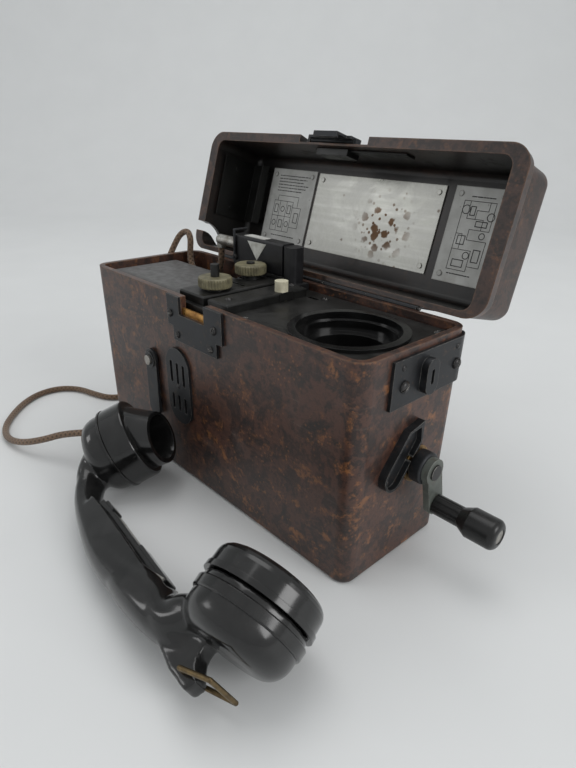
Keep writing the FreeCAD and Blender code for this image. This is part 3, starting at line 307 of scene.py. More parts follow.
def bakelite(name, marble, hollows=0.0):
    """Marbled brown bakelite with dark veins, ember patches, scuffs and worn edges, and painted
    shade darkening its hollows when hollows is set.
    """
    ground, blotch, ember = marble
    look = Look(name)
    patch = look.noise(scale=58.0, detail=9.0, distortion=0.25, roughness=0.74)
    colour = look.ramp(patch, [(0.34, ground), (0.47, blotch), (0.55, ground), (0.68, blotch)])
    drift = look.band(look.noise(scale=13.0, detail=3.0), 0.34, 0.62, 0.3, 1.0)
    glow = look.band(look.noise(scale=92.0, detail=8.0, distortion=0.2, roughness=0.74), 0.53, 0.66)
    colour = look.mix(look.times(glow, drift), colour, ember)
    soot = look.band(look.noise(scale=44.0, detail=8.0, distortion=0.6, roughness=0.7), 0.52, 0.64)
    colour = look.mix(look.times(soot, 0.8), colour, SOOT)
    specks = look.band(look.cells(scale=300.0), 0.34, 0.10)
    scatter = look.band(look.noise(scale=46.0, detail=3.0), 0.44, 0.60)
    speck = look.times(specks, scatter)
    colour = look.mix(look.times(speck, 0.6), colour, ember)
    scratch_place = look.stretched((40.0, 40.0, 900.0), (0.5, 0.9, 0.3))
    scratches = look.band(look.noise(scale=1.0, detail=4.0, place=scratch_place), 0.62, 0.70)
    scuff = look.band(look.noise(scale=38.0, detail=7.0, roughness=0.72), 0.55, 0.72)
    marks = look.times(scratches, look.plus(scuff, 0.2))
    colour = look.mix(look.times(marks, 0.6), colour, SCRATCH)
    colour = look.mix(look.times(scuff, 0.20), colour, SCUFF)
    bloom = look.band(look.noise(scale=9.0, detail=2.0), 0.48, 0.68, 0.0, 0.10)
    colour = look.mix(bloom, colour, BLOOM)
    rub = look.band(look.noise(scale=130.0, detail=5.0), 0.36, 0.62, 0.25, 0.9)
    colour = look.mix(look.times(look.edges(1.8 * MM), rub), colour, WORN_BAKELITE)
    # Painted shade: ambient occlusion darkens the hollows towards near-black.
    if hollows:
        shade = look.node("AmbientOcclusion", {"Distance": 0.08}, samples=8, only_local=True)
        deep = look.band(shade.outputs["AO"], 0.92, 0.60, 0.0, hollows)
        colour = look.mix(deep, colour, HOLLOW_SHADE)
    look.shader_set("Base Color", colour)
    dull = look.plus(look.times(scuff, 0.2), look.times(marks, 0.2))
    look.shader_set("Roughness", look.plus(dull, 0.38))
    fine = look.noise(scale=620.0, detail=3.0)
    height = look.plus(look.times(fine, 0.35), look.times(patch, 0.6))
    look.relief(height, 0.25, 0.35 * MM, rounding=0.7 * MM)
    return look.material


def painted_metal(name, paint, bare, shine, metallic=0.55, wear=0.8):
    """Dark painted or blackened metal: cloudy, a little rusty, bright along its edges."""
    look = Look(name)
    cloud = look.noise(scale=90.0, detail=6.0, distortion=0.6)
    paler = tuple(min(1.0, c * 1.9 + 0.008) for c in paint)
    colour = look.ramp(cloud, [(0.35, paint), (0.7, paler)])
    rust = look.band(look.noise(scale=210.0, detail=5.0, distortion=1.0), 0.58, 0.74)
    colour = look.mix(look.times(rust, 0.55), colour, RUST_STAIN)
    rub = look.band(look.noise(scale=260.0, detail=5.0), 0.38, 0.6, 0.25, 1.0)
    edge = look.times(look.edges(0.7 * MM), look.times(rub, wear))
    colour = look.mix(edge, colour, bare)
    look.shader_set("Base Color", colour)
    look.shader_set("Metallic", metallic)
    look.shader_set("Roughness", look.band(cloud, 0.2, 0.8, shine - 0.08, shine + 0.14))
    grain = look.noise(scale=900.0, detail=3.0)
    look.relief(grain, 0.16, 0.2 * MM, rounding=0.35 * MM)
    return look.material


def black_moulding(name, ground, shine, dust, coat=0.0, grain=0.05):
    """Black moulded plastic with smudges, settled dust and faint orange peel."""
    look = Look(name)
    smudge = look.noise(scale=60.0, detail=6.0, distortion=0.7)
    greyer = tuple(c * 1.8 + 0.004 for c in ground)
    colour = look.ramp(smudge, [(0.3, ground), (0.75, greyer)])
    specks = look.band(look.noise(scale=1500.0, detail=2.0), 0.66, 0.76)
    settled = look.times(look.facing_up(), look.band(smudge, 0.35, 0.7, 0.3, 1.0))
    powder = look.times(look.plus(look.times(specks, 0.8), 0.25), settled)
    colour = look.mix(look.times(powder, dust), colour, DUST)
    edge = look.times(look.edges(0.8 * MM), 0.35)
    colour = look.mix(edge, colour, tuple(c * 3.0 + 0.02 for c in ground))
    look.shader_set("Base Color", colour)
    look.shader_set("Roughness", look.band(smudge, 0.25, 0.75, shine - 0.05, shine + 0.14))
    look.shader_set("Coat Weight", coat)
    look.shader_set("Coat Roughness", 0.12)
    look.shader_set("Specular IOR Level", 0.4)
    peel = look.noise(scale=420.0, detail=3.0)
    look.relief(peel, grain, 0.3 * MM, rounding=0.5 * MM)
    return look.material


def zinc_plate(name):
    """A dull silver writing plate with clouds, wiped streaks and clustered rust spots."""
    look = Look(name)
    cloud = look.noise(scale=40.0, detail=7.0, distortion=1.0, roughness=0.65)
    tarnished, dull, bright = (0.19, 0.195, 0.175), (0.36, 0.36, 0.335), (0.58, 0.58, 0.55)
    colour = look.ramp(cloud, [(0.28, tarnished), (0.55, dull), (0.8, bright)])
    streak_place = look.stretched((14.0, 260.0, 260.0))
    streaks = look.noise(scale=1.0, detail=5.0, place=streak_place)
    colour = look.mix(look.band(streaks, 0.4, 0.75, 0.0, 0.3), colour, (0.55, 0.55, 0.53))
    low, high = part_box("writing_plate")
    right, down = 0.13 * (high.x - low.x), 0.06 * (high.z - low.z)
    cluster = low.lerp(high, 0.5) + Vector((right, 0, -down))
    spread = look.node("VectorMath", {0: look.place, 1: tuple(cluster)}, operation="DISTANCE")
    near = look.band(spread.outputs["Value"], 0.034, 0.010)
    warp = look.noise(scale=190.0, detail=4.0)

    def dots(scale, ragged, rim, heart):
        """Scattered spots: one at the heart of each and nought past its rim."""
        return look.band(look.plus(look.cells(scale=scale), look.times(warp, ragged)), rim, heart)

    large = dots(95.0, 0.6, 0.66, 0.54)
    small = dots(210.0, 0.4, 0.50, 0.40)
    stray = dots(70.0, 0.3, 0.27, 0.21)
    spots = look.times(look.maths("MAXIMUM", large, small), near)
    spots = look.maths("MAXIMUM", spots, look.times(stray, 0.7))
    colour = look.mix(spots, colour, RUST_SPOT)
    edge = look.times(look.edges(1.2 * MM), 0.6)
    colour = look.mix(edge, colour, (0.10, 0.085, 0.07))
    look.shader_set("Base Color", colour)
    look.shader_set("Metallic", 0.8)
    look.shader_set("Roughness", look.band(cloud, 0.3, 0.75, 0.27, 0.44))
    look.relief(cloud, 0.35, 0.4 * MM)
    return look.material


def card_stock(name):
    """An aged pale card with foxing and a dirty edge."""
    look = Look(name)
    cloud = look.noise(scale=70.0, detail=6.0)
    colour = look.ramp(cloud, [(0.3, (0.46, 0.46, 0.435)), (0.7, (0.66, 0.66, 0.635))])
    stain = look.band(look.noise(scale=33.0, detail=5.0, distortion=0.5), 0.55, 0.75)
    colour = look.mix(look.times(stain, 0.35), colour, (0.22, 0.19, 0.14))
    dots = look.band(look.cells(scale=260.0), 0.16, 0.08)
    few = look.band(look.noise(scale=95.0), 0.5, 0.62)
    foxing = look.times(dots, look.times(few, 0.6))
    colour = look.mix(foxing, colour, (0.10, 0.08, 0.06))
    edge = look.times(look.edges(1.4 * MM), 0.7)
    colour = look.mix(edge, colour, (0.12, 0.10, 0.08))
    look.shader_set("Base Color", colour)
    look.shader_set("Roughness", 0.5)
    look.relief(cloud, 0.12, 0.2 * MM)
    return look.material


def bare_metal(name, ground, deep, shine):
    """Bright steel or brass gone dull in its hollows."""
    look = Look(name)
    cloud = look.noise(scale=140.0, detail=6.0, distortion=0.5)
    colour = look.ramp(cloud, [(0.32, deep), (0.62, ground)])
    dirt = look.band(look.noise(scale=330.0, detail=4.0), 0.5, 0.75)
    colour = look.mix(look.times(dirt, 0.5), colour, deep)
    edge = look.times(look.edges(0.5 * MM), 0.7)
    colour = look.mix(edge, colour, tuple(min(1.0, c * 1.4) for c in ground))
    look.shader_set("Base Color", colour)
    look.shader_set("Metallic", 0.9)
    look.shader_set("Roughness", look.band(cloud, 0.25, 0.75, shine + 0.15, shine - 0.05))
    grain = look.noise(scale=1100.0, detail=2.0)
    look.relief(grain, 0.12, 0.1 * MM, rounding=0.3 * MM)
    return look.material


def aged_plastic(name, ground, grime, shine):
    """Pale plastic with grime in its grain and hollows."""
    look = Look(name)
    cloud = look.noise(scale=180.0, detail=6.0)
    colour = look.ramp(cloud, [(0.3, grime), (0.6, ground)])
    edge = look.times(look.edges(0.6 * MM), 0.5)
    colour = look.mix(edge, colour, tuple(min(1.0, c * 1.35) for c in ground))
    look.shader_set("Base Color", colour)
    look.shader_set("Roughness", look.band(cloud, 0.3, 0.7, shine + 0.12, shine))
    fine = look.noise(scale=800.0, detail=3.0)
    look.relief(fine, 0.12, 0.2 * MM, rounding=0.4 * MM)
    return look.material


BRAID_STRANDS = 4
BRAID_PITCH = 4.2 * MM


def braid(name):
    """Brown woven cotton: crossed strands with painted shade between them, fuzzy and a little
    sun-bleached.
    """
    look = Look(name)
    run = look.node("UVMap", uv_map="weave").outputs[0]
    parts = look.node("SeparateXYZ", {0: run})
    along, around = parts.outputs[0], parts.outputs[1]
    ahead = look.times(along, 2 * math.pi / BRAID_PITCH)
    about = look.times(around, BRAID_STRANDS * 2 * math.pi)
    one = look.maths("SINE", look.plus(ahead, about))
    other = look.maths("SINE", look.maths("SUBTRACT", ahead, about))
    weave = look.maths("MAXIMUM", one, other)
    fade = look.noise(scale=38.0, detail=5.0)
    ground = look.ramp(fade, [(0.3, (0.12, 0.071, 0.040)), (0.7, (0.23, 0.145, 0.088))])
    # Painted shade: the dark brown fills the dips between the crossed strands.
    colour = look.mix(look.band(weave, -0.4, 0.9), (0.070, 0.042, 0.024), ground)
    fuzz = look.noise(scale=2600.0, detail=2.0)
    colour = look.mix(look.band(fuzz, 0.5, 0.75, 0.0, 0.35), colour, (0.30, 0.21, 0.14))
    look.shader_set("Base Color", colour)
    look.shader_set("Roughness", 0.85)
    look.shader_set("Sheen Weight", 0.25)
    look.relief(look.plus(weave, look.times(fuzz, 0.4)), 0.6, 0.4 * MM)
    return look.material


CASE_MARBLE = ((0.019, 0.0120, 0.0105), (0.080, 0.035, 0.023), (0.235, 0.094, 0.032))
LID_MARBLE = ((0.017, 0.0115, 0.010), (0.060, 0.032, 0.024), (0.125, 0.055, 0.027))


def finishes():
    """One material for each of the record's slots, then those of this script's own."""
    return {
        "bakelite": bakelite("marbled_bakelite", CASE_MARBLE),
        # The lid gets painted shade in its hollows.
        "lid_bakelite": bakelite("lid_bakelite", LID_MARBLE, hollows=0.95),
        "blackened_steel": painted_metal(
            "blackened_steel", (0.016, 0.017, 0.019), (0.26, 0.25, 0.23), 0.42
        ),
        "bright_steel": bare_metal("dull_steel", (0.50, 0.49, 0.46), (0.20, 0.18, 0.15), 0.30),
        "zinc": zinc_plate("zinc_sheet"),
        "brass": bare_metal("aged_brass", (0.40, 0.25, 0.095), (0.15, 0.085, 0.035), 0.34),
        "card": card_stock("aged_card"),
        "deck_black": black_moulding(
            "deck_black", (0.0045, 0.0045, 0.004), 0.36, dust=0.13, grain=0.25
        ),
        "cradle_black": black_moulding(
            "cradle_black", (0.0035, 0.0035, 0.0035), 0.14, dust=0.05, coat=0.3
        ),
        "cover_grey": aged_plastic(
            "cover_grey", (0.074, 0.071, 0.070), (0.058, 0.056, 0.054), 0.36
        ),
        "nut_cream": aged_plastic("nut_cream", (0.20, 0.18, 0.105), (0.085, 0.075, 0.042), 0.42),
        "ivory": aged_plastic("ivory", (0.72, 0.68, 0.52), (0.50, 0.46, 0.33), 0.32),
        "plug_black": black_moulding(
            "plug_black", (0.008, 0.008, 0.009), 0.33, dust=0.16, grain=0.2
        ),
        "handset_black": black_moulding(
            "handset_black", (0.005, 0.005, 0.005), 0.12, dust=0.06, coat=0.3
        ),
        "grip_black": black_moulding(
            "grip_black", (0.007, 0.007, 0.007), 0.28, dust=0.08, grain=0.12
        ),
        "arm_grey": painted_metal(
            "arm_grey", (0.085, 0.093, 0.082), (0.36, 0.36, 0.33), 0.44, metallic=0.35
        ),
        "cord_brown": braid("brown_braid"),
        "magnet_steel": painted_metal(
            "magnet_steel", (0.10, 0.10, 0.10), (0.4, 0.4, 0.4), 0.40, metallic=0.8
        ),
        "battery_case": aged_plastic("battery_case", (0.30, 0.26, 0.19), (0.18, 0.15, 0.11), 0.6),
        "coil_copper": bare_metal("coil_copper", (0.42, 0.19, 0.09), (0.16, 0.07, 0.035), 0.38),
        "worn_screw": painted_metal(
            "worn_screw", (0.035, 0.034, 0.034), (0.42, 0.40, 0.37), 0.36, metallic=0.8, wear=1.0
        ),
        "dark_brass": bare_metal("dark_brass", (0.19, 0.135, 0.065), (0.07, 0.05, 0.03), 0.36),
        "warm_brass": bare_metal("warm_brass", (0.66, 0.36, 0.10), (0.32, 0.15, 0.045), 0.30),
        "ink": aged_plastic("printed_ink", (0.035, 0.034, 0.033), (0.10, 0.10, 0.095), 0.6),
        "label_white": aged_plastic("label_white", (0.62, 0.62, 0.58), (0.36, 0.35, 0.31), 0.45),
    }


add_camera()
add_lights()
add_floor()
FINISH = finishes()
NODE_FINISH = {
    "latch_spring": "deck_black",
    "lid_side_bracket": "deck_black",
    "crank_shaft": "worn_screw",
    "hinge_pin": "worn_screw",
    "hang_ring": "dark_brass",
    "latch_catch": "warm_brass",
}


def finish_nodes():
    """Gives each CAD node the material of its slot, apart from the few listed in NODE_FINISH."""
    slots = {}
    for subpart in frame["record"]["subparts"]:
        slots[subpart["node"]] = subpart["material_slot"]
    for name, node in NODES.items():
        slot = NODE_FINISH.get(name, slots[name])
        node.data.materials.clear()
        node.data.materials.append(FINISH[slot])


finish_nodes()

# ---------------------------------------------------------------- shared mesh helpers

LID_ANGLE = math.radians(106.0)
HINGE = Vector((0.0, 49.5, 141.3)) * MM
LID_OPENING = (
    Matrix.Translation(HINGE)
    @ Matrix.Rotation(-LID_ANGLE, 4, "X")
    @ Matrix.Translation(-HINGE)
)
SHADE_ANGLE = math.radians(35.0)


def add_piece(name, mesh, slot, body, placement=None):
    """Turns a bmesh into a piece that rides on a body."""
    bmesh.ops.recalc_face_normals(mesh, faces=mesh.faces)
    data = bpy.data.meshes.new(name)
    mesh.to_mesh(data)
    mesh.free()
    if placement:
        data.transform(placement)
    data.shade_smooth()
    data.set_sharp_from_angle(angle=SHADE_ANGLE)
    data.materials.append(FINISH[slot])
    piece = bpy.data.objects.new(name, data)
    bpy.context.scene.collection.objects.link(piece)
    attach(piece, body)
    return piece


def add_prism(mesh, corners, depth):
    """A flat plate: the corners, and the same corners moved by depth."""
    near = [mesh.verts.new(corner) for corner in corners]
    far = [mesh.verts.new(Vector(corner) + Vector(depth)) for corner in corners]
    mesh.faces.new(near)
    mesh.faces.new(far[::-1])
    for index in range(len(near)):
        after = (index + 1) % len(near)
        mesh.faces.new((near[index], near[after], far[after], far[index]))


def rounded_rectangle(low, high, radius, steps=4):
    """The corners of a flat outline with rounded corners, anticlockwise."""
    points = []
    centres = [
        (high[0] - radius, high[1] - radius, 0.0),
        (low[0] + radius, high[1] - radius, 0.5),
        (low[0] + radius, low[1] + radius, 1.0),
        (high[0] - radius, low[1] + radius, 1.5),
    ]
    for x, y, start in centres:
        for step in range(steps + 1):
            turn = math.pi * (start + 0.5 * step / steps)
            points.append((x + radius * math.cos(turn), y + radius * math.sin(turn)))
    return points


def surface_point(node, start, direction):
    """Where a line from start first meets a CAD node, and the surface's normal there."""
    found, place, normal, _ = NODES[node].ray_cast(Vector(start) * MM, Vector(direction))
    if not found:
        raise ValueError(f"no surface of {node} ahead of {start}")
    return place, normal


# A screw's measures are parts of its radius; the profile is reach and height.
SCREW_PROFILE = ((1.0, 0.0), (1.0, 0.28), (0.88, 0.50), (0.6, 0.66), (0.3, 0.72))
SCREW_SLOT = 0.13
SCREW_STEPS = 12
SCREW_SINK = 0.1
SCREW_DISC_RADIUS = 0.97
SCREW_DISC_HEIGHT = 0.25


def add_screw(mesh, place, outward, radius, turn):
    """A slotted round head: two half domes either side of a slot, on a low disc."""
    spin = outward.to_track_quat("Z", "Y").to_matrix() @ Matrix.Rotation(turn, 3, "Z")

    def point(across, along, height):
        return mesh.verts.new(place + spin @ Vector((across, along, height - SCREW_SINK)) * radius)

    for side in (1, -1):
        rings = []
        for reach, height in SCREW_PROFILE:
            angles = [math.pi * step / SCREW_STEPS for step in range(SCREW_STEPS + 1)]
            shrink = reach * (1 - SCREW_SLOT)
            rings.append(
                [
                    point(
                        reach * math.cos(angle),
                        side * (SCREW_SLOT + shrink * math.sin(angle)),
                        height,
                    )
                    for angle in angles
                ]
            )
        for low, high in zip(rings, rings[1:]):
            for step in range(SCREW_STEPS):
                mesh.faces.new((low[step], low[step + 1], high[step + 1], high[step]))
        mesh.faces.new(rings[-1])
        mesh.faces.new([ring[0] for ring in rings] + [ring[-1] for ring in rings[::-1]])
    whole = [2 * math.pi * step / (2 * SCREW_STEPS) for step in range(2 * SCREW_STEPS)]
    disc = [
        (SCREW_DISC_RADIUS * math.cos(angle), SCREW_DISC_RADIUS * math.sin(angle))
        for angle in whole
    ]
    low = [point(across, along, 0.0) for across, along in disc]
    high = [point(across, along, SCREW_DISC_HEIGHT) for across, along in disc]
    for step in range(len(whole)):
        after = (step + 1) % len(whole)
        mesh.faces.new((low[step], low[after], high[after], high[step]))
    mesh.faces.new(high)


RIVET_STEPS = 16
RIVET_RINGS = 4
RIVET_HEIGHT = 0.55
RIVET_SINK = 0.08


def add_rivet(mesh, place, outward, radius):
    """A low dome."""
    spin = outward.to_track_quat("Z", "Y").to_matrix()
    rings = []
    for ring in range(RIVET_RINGS):
        tilt = math.pi / 2 * ring / RIVET_RINGS
        reach, height = math.cos(tilt), RIVET_HEIGHT * math.sin(tilt)
        points = []
        for step in range(RIVET_STEPS):
            turn = 2 * math.pi * step / RIVET_STEPS
            across, along = reach * math.cos(turn), reach * math.sin(turn)
            offset = Vector((across, along, height - RIVET_SINK))
            points.append(mesh.verts.new(place + spin @ offset * radius))
        rings.append(points)
    for low, high in zip(rings, rings[1:]):
        for step in range(RIVET_STEPS):
            after = (step + 1) % RIVET_STEPS
            mesh.faces.new((low[step], low[after], high[after], high[step]))
    mesh.faces.new(rings[-1])


# ---------------------------------------------------------------- screws and rivets

CASE_SCREWS = (
    # node, a point in front of it, the direction to it, head radius, turn of the slot
    ("strap_plate_right", (160, -14, 121), (-1, 0, 0), 3.4, 0.5),
    ("strap_plate_right", (160, 35.6, 121), (-1, 0, 0), 3.4, 1.4),
    ("strap_plate_left", (-160, -14, 121), (1, 0, 0), 3.4, 0.9),
    ("strap_plate_left", (-160, 35.6, 121), (1, 0, 0), 3.4, 2.2),
    ("front_latch_plate", (-26.5, -70, 128), (0, 1, 0), 2.6, 0.4),
    ("front_latch_plate", (22, -70, 128), (0, 1, 0), 2.6, 1.1),
    ("front_latch_plate", (-19, -70, 114.5), (0, 1, 0), 2.2, 2.0),
    ("front_latch_plate", (18, -70, 114.5), (0, 1, 0), 2.2, 0.1),
    ("terminal_block", (-26, 10, 170), (0, 0, -1), 2.0, 0.7),
    ("switch_strip", (12, -30, 170), (0, 0, -1), 2.2, 1.9),
    ("switch_strip", (12, 25, 170), (0, 0, -1), 2.0, 0.2),
    ("deck_panel", (36, -36, 170), (0, 0, -1), 2.4, 1.2),
    ("deck_panel", (36, 34, 170), (0, 0, -1), 2.4, 2.5),
    ("deck_panel", (126, -36, 170), (0, 0, -1), 2.4, 0.3),
    ("deck_panel", (126, 34, 170), (0, 0, -1), 2.4, 1.0),
)
CASE_RIVETS = (
    # node, a point in front of it, the direction to it, head radius
    ("strap_plate_right", (160, 34.5, 132), (-1, 0, 0), 1.8),
    ("strap_plate_right", (160, -16, 132), (-1, 0, 0), 1.8),
    ("strap_plate_left", (-160, 34.5, 132), (1, 0, 0), 1.8),
    ("crank_trough", (160, -18, 62), (-1, 0, 0), 1.6),
    ("bell_grille", (-24, -70, 74), (0, 1, 0), 1.7),
)


def add_fasteners():
    """Slotted screws and rivets on the case's fittings."""
    screws = bmesh.new()
    for node, start, direction, radius, turn in CASE_SCREWS:
        place, normal = surface_point(node, start, direction)
        add_screw(screws, place, normal, radius * MM, turn)
    add_piece("case_screws", screws, "worn_screw", "case")
    rivets = bmesh.new()
    for node, start, direction, radius in CASE_RIVETS:
        place, normal = surface_point(node, start, direction)
        add_rivet(rivets, place, normal, radius * MM)
    add_piece("case_rivets", rivets, "worn_screw", "case")


# ---------------------------------------------------------------- cards in the lid

INK_WIDTH = 0.42 * MM
INK_THICKNESS = 0.08 * MM
INK_SINK = 0.03 * MM
RIVET_RISE = 0.8 * MM
CARD_MARGIN = 3.5 * MM
RING_SIDES = 14
DASH_LENGTHS = (0.02, 0.07)
DASH_GAPS = (0.02, 0.035)
# Runs of wire, boxes (left, bottom, right, top) and rings (across, up, radius) are in
# parts of a card's width and height.
CIRCUIT_LINES = (
    ((0.16, 0.10), (0.16, 0.90), (0.84, 0.90), (0.84, 0.58)),
    ((0.16, 0.34), (0.58, 0.34), (0.58, 0.10), (0.16, 0.10)),
    ((0.84, 0.58), (0.42, 0.58), (0.42, 0.46), (0.84, 0.46), (0.84, 0.16), (0.58, 0.16)),
    ((0.30, 0.90), (0.30, 0.70), (0.66, 0.70), (0.66, 0.58)),
    ((0.16, 0.52), (0.30, 0.52), (0.30, 0.34)),
    ((0.72, 0.90), (0.72, 0.80), (0.48, 0.80), (0.48, 0.70)),
)
CIRCUIT_BOXES = (
    (0.22, 0.40, 0.38, 0.50),
    (0.52, 0.62, 0.76, 0.68),
    (0.34, 0.74, 0.44, 0.84),
    (0.64, 0.22, 0.78, 0.36),
    (0.24, 0.14, 0.48, 0.22),
)
CIRCUIT_RINGS = ((0.80, 0.74, 0.045), (0.24, 0.80, 0.05), (0.50, 0.28, 0.04), (0.72, 0.52, 0.035))
CODE_LINES = (
    ((0.12, 0.12), (0.12, 0.58), (0.62, 0.58), (0.62, 0.12), (0.12, 0.12)),
    ((0.12, 0.35), (0.62, 0.35)),
    ((0.28, 0.12), (0.28, 0.58)),
    ((0.46, 0.12), (0.46, 0.58)),
    ((0.62, 0.50), (0.84, 0.50), (0.84, 0.20), (0.62, 0.20)),
    ((0.20, 0.58), (0.20, 0.66), (0.74, 0.66), (0.74, 0.50)),
)
CODE_BOXES = (
    (0.16, 0.40, 0.24, 0.52),
    (0.33, 0.18, 0.42, 0.29),
    (0.50, 0.40, 0.58, 0.52),
    (0.70, 0.28, 0.80, 0.42),
)
CODE_RINGS = ((0.37, 0.46, 0.04), (0.20, 0.24, 0.04), (0.54, 0.24, 0.04))


def closed_box(node):
    """The corners of a lid node's box with the lid shut."""
    shut = LID_OPENING.inverted()
    points = [shut @ vertex.co for vertex in NODES[node].data.vertices]
    return [
        Vector([pick(point[axis] for point in points) for axis in range(3)])
        for pick in (min, max)
    ]


def add_ink(mesh, start, end, level, width):
    """A thin printed line between two flat points."""
    ahead = (end - start).normalized()
    across = Vector((-ahead.y, ahead.x)) * width / 2
    ahead = ahead * width / 2
    start, end = start - ahead, end + ahead
    flat = [start - across, end - across, end + across, start + across]
    add_prism(mesh, [(p.x, p.y, level + INK_SINK) for p in flat], (0, 0, -INK_THICKNESS))


def add_diagram(node, lines, boxes, rings, dashes):
    """A generic line diagram on a card: runs of wire, boxes, rings and rows of dashes."""
    low, high = closed_box(node)
    level = low.z + RIVET_RISE
    width = high.x - low.x - 2 * CARD_MARGIN
    height = high.y - low.y - 2 * CARD_MARGIN

    def place(across, up):
        left, bottom = low.x + CARD_MARGIN, high.y - CARD_MARGIN
        return Vector((left + across * width, bottom - up * height))

    mesh = bmesh.new()
    for run in lines:
        for start, end in zip(run, run[1:]):
            add_ink(mesh, place(*start), place(*end), level, INK_WIDTH)
    for left, bottom, right, top in boxes:
        corners = [(left, bottom), (right, bottom), (right, top), (left, top), (left, bottom)]
        for start, end in zip(corners, corners[1:]):
            add_ink(mesh, place(*start), place(*end), level, 1.5 * INK_WIDTH)
    for across, up, radius in rings:
        centre = place(across, up)
        spokes = [2 * math.pi * side / RING_SIDES for side in range(RING_SIDES + 1)]
        points = [centre + Vector((math.cos(a), math.sin(a))) * radius * height for a in spokes]
        for start, end in zip(points, points[1:]):
            add_ink(mesh, start, end, level, 1.3 * INK_WIDTH)
    draw = random.Random(len(lines) + len(dashes))
    for up, left, right in dashes:
        across = left
        while across < right:
            reach = draw.uniform(*DASH_LENGTHS)
            ends = place(across, up), place(min(across + reach, right), up)
            add_ink(mesh, *ends, level, 1.8 * INK_WIDTH)
            across += reach + draw.uniform(*DASH_GAPS)
    add_piece(f"{node}_diagram", mesh, "ink", "lid", LID_OPENING)


def add_lid_details():
    """Diagrams on both cards."""
    rows = ((0.05, 0.2, 0.7), (0.95, 0.3, 0.8))
    add_diagram("circuit_card", CIRCUIT_LINES, CIRCUIT_BOXES, CIRCUIT_RINGS, rows)
    rows = tuple((0.96 - 0.045 * row, 0.14, 0.92 - 0.07 * (row % 3)) for row in range(6))
    add_diagram("code_card", CODE_LINES, CODE_BOXES, CODE_RINGS, rows + ((0.05, 0.2, 0.8),))


# ---------------------------------------------------------------- plug label

# Places on the case in millimetres.
PLUG_TOP = 167.0
PLUG_FRONT = 30.6
LABEL_BOX = ((-49, 32.4), (-26, 40.4))
TRIANGLE = ((-42.5, 164.5), (-21.5, 164.5), (-32, 151.5))
GUARD_FACE = 22.0
GUARD_BOX = ((4.5, 136.2), (16.5, 142.0))


def add_plug_marks():
    """A pale blank label on the plug's top and a white triangle on its front."""
    label = bmesh.new()
    outline = rounded_rectangle(*LABEL_BOX, 1.0)
    corners = [Vector((x, y, PLUG_TOP - 0.1)) * MM for x, y in outline]
    add_prism(label, corners, (0, 0, 0.35 * MM))
    add_piece("plug_label", label, "card", "case")
    mark = bmesh.new()
    corners = [Vector((x, PLUG_FRONT + 0.1, z)) * MM for x, z in TRIANGLE]
    add_prism(mark, corners, (0, -0.3 * MM, 0))
    add_piece("plug_triangle", mark, "label_white", "case")


def add_button_guard():
    """A thin plate on the end of the switch strip, beside the button."""
    guard = bmesh.new()
    outline = rounded_rectangle(*GUARD_BOX, 0.8)
    corners = [Vector((GUARD_FACE, y, z)) * MM for y, z in outline]
    add_prism(guard, corners, (0.5 * MM, 0, 0))
    add_piece("button_guard", guard, "deck_black", "case")


# ---------------------------------------------------------------- moulded handset

# The handset's own frame: X along the handle to the receiver, Y out of the receiver's face.
RECEIVER_CENTRE = Vector((138.5, -114.2, 38.2)) * MM
HANDSET_ALONG = Vector((0.982, 0.093, 0.167)).normalized()
HANDSET_FACE = Vector((-0.157, 0.889, 0.43))
TRANSMITTER_CENTRE = Vector((-169.4, 63.8, 0.0)) * MM
TRANSMITTER_TILT = math.radians(36.8)
BAR_START = Vector((-144.0, 6.0, 0.0)) * MM
BAR_END = Vector((-52.0, -17.8, 0.0)) * MM
BAR_THICKNESS = 4.0 * MM
HANDSET_VOXEL = 0.9 * MM
HANDSET_SMOOTHING = 22


def handset_frame():
    """The matrix from the handset's own frame to the row frame."""
    facing = (HANDSET_FACE - HANDSET_ALONG * HANDSET_FACE.dot(HANDSET_ALONG)).normalized()
    sideways = HANDSET_ALONG.cross(facing)
    turn = Matrix((HANDSET_ALONG, facing, sideways)).transposed().to_4x4()
    return Matrix.Translation(RECEIVER_CENTRE) @ turn


def add_shoulder(mesh, centre, radii, tilt):
    """An ellipsoid that fattens a neck of the handset."""
    scale = Matrix.Diagonal((*(Vector(radii) * MM), 1.0))
    place = Matrix.Translation(Vector(centre) * MM) @ Matrix.Rotation(tilt, 4, "Z") @ scale
    bmesh.ops.create_icosphere(mesh, subdivisions=4, radius=1.0, matrix=handset_frame() @ place)


def bar_point(part, rise, side):
    """A point beside the talk bar: part of the way along, above its underside and to one side."""
    ahead = (BAR_END - BAR_START).normalized()
    outward = Vector((-ahead.y, ahead.x, 0))
    middle = BAR_START.lerp(BAR_END, part) + outward * rise * MM
    return handset_frame() @ (middle + Vector((0, 0, side * MM)))


RAIL_INNER = 7.9
RAIL_OUTER = 12.2
RAIL_OUTLINE = (
    # part of the bar's length, millimetres above its rest line
    (-0.05, 0.6),
    (0.1, 1.6),
    (0.5, 1.8),
    (0.9, 1.6),
    (1.04, 0.0),
    (1.0, -9.0),
    (0.5, -12.0),
    (0.0, -8.0),
)


def add_rails(mesh):
    """The walls of the handle either side of the talk bar."""
    for side in (1, -1):
        corners = [bar_point(part, rise, side * RAIL_INNER) for part, rise in RAIL_OUTLINE]
        depth = bar_point(0, 0, side * RAIL_OUTER) - bar_point(0, 0, side * RAIL_INNER)
        add_prism(mesh, corners, depth)


HANDSET_WELD = 0.01 * MM
SHOULDERS = (
    # centre and radii in millimetres, tilt in radians
    ((-25, -19, 0), (21, 10, 16), 0.25),
    ((-58, -27, 0), (44, 10, 14.5), -0.12),
    ((-183.5, 30, 0), (9.5, 27, 15), 0.5),
)


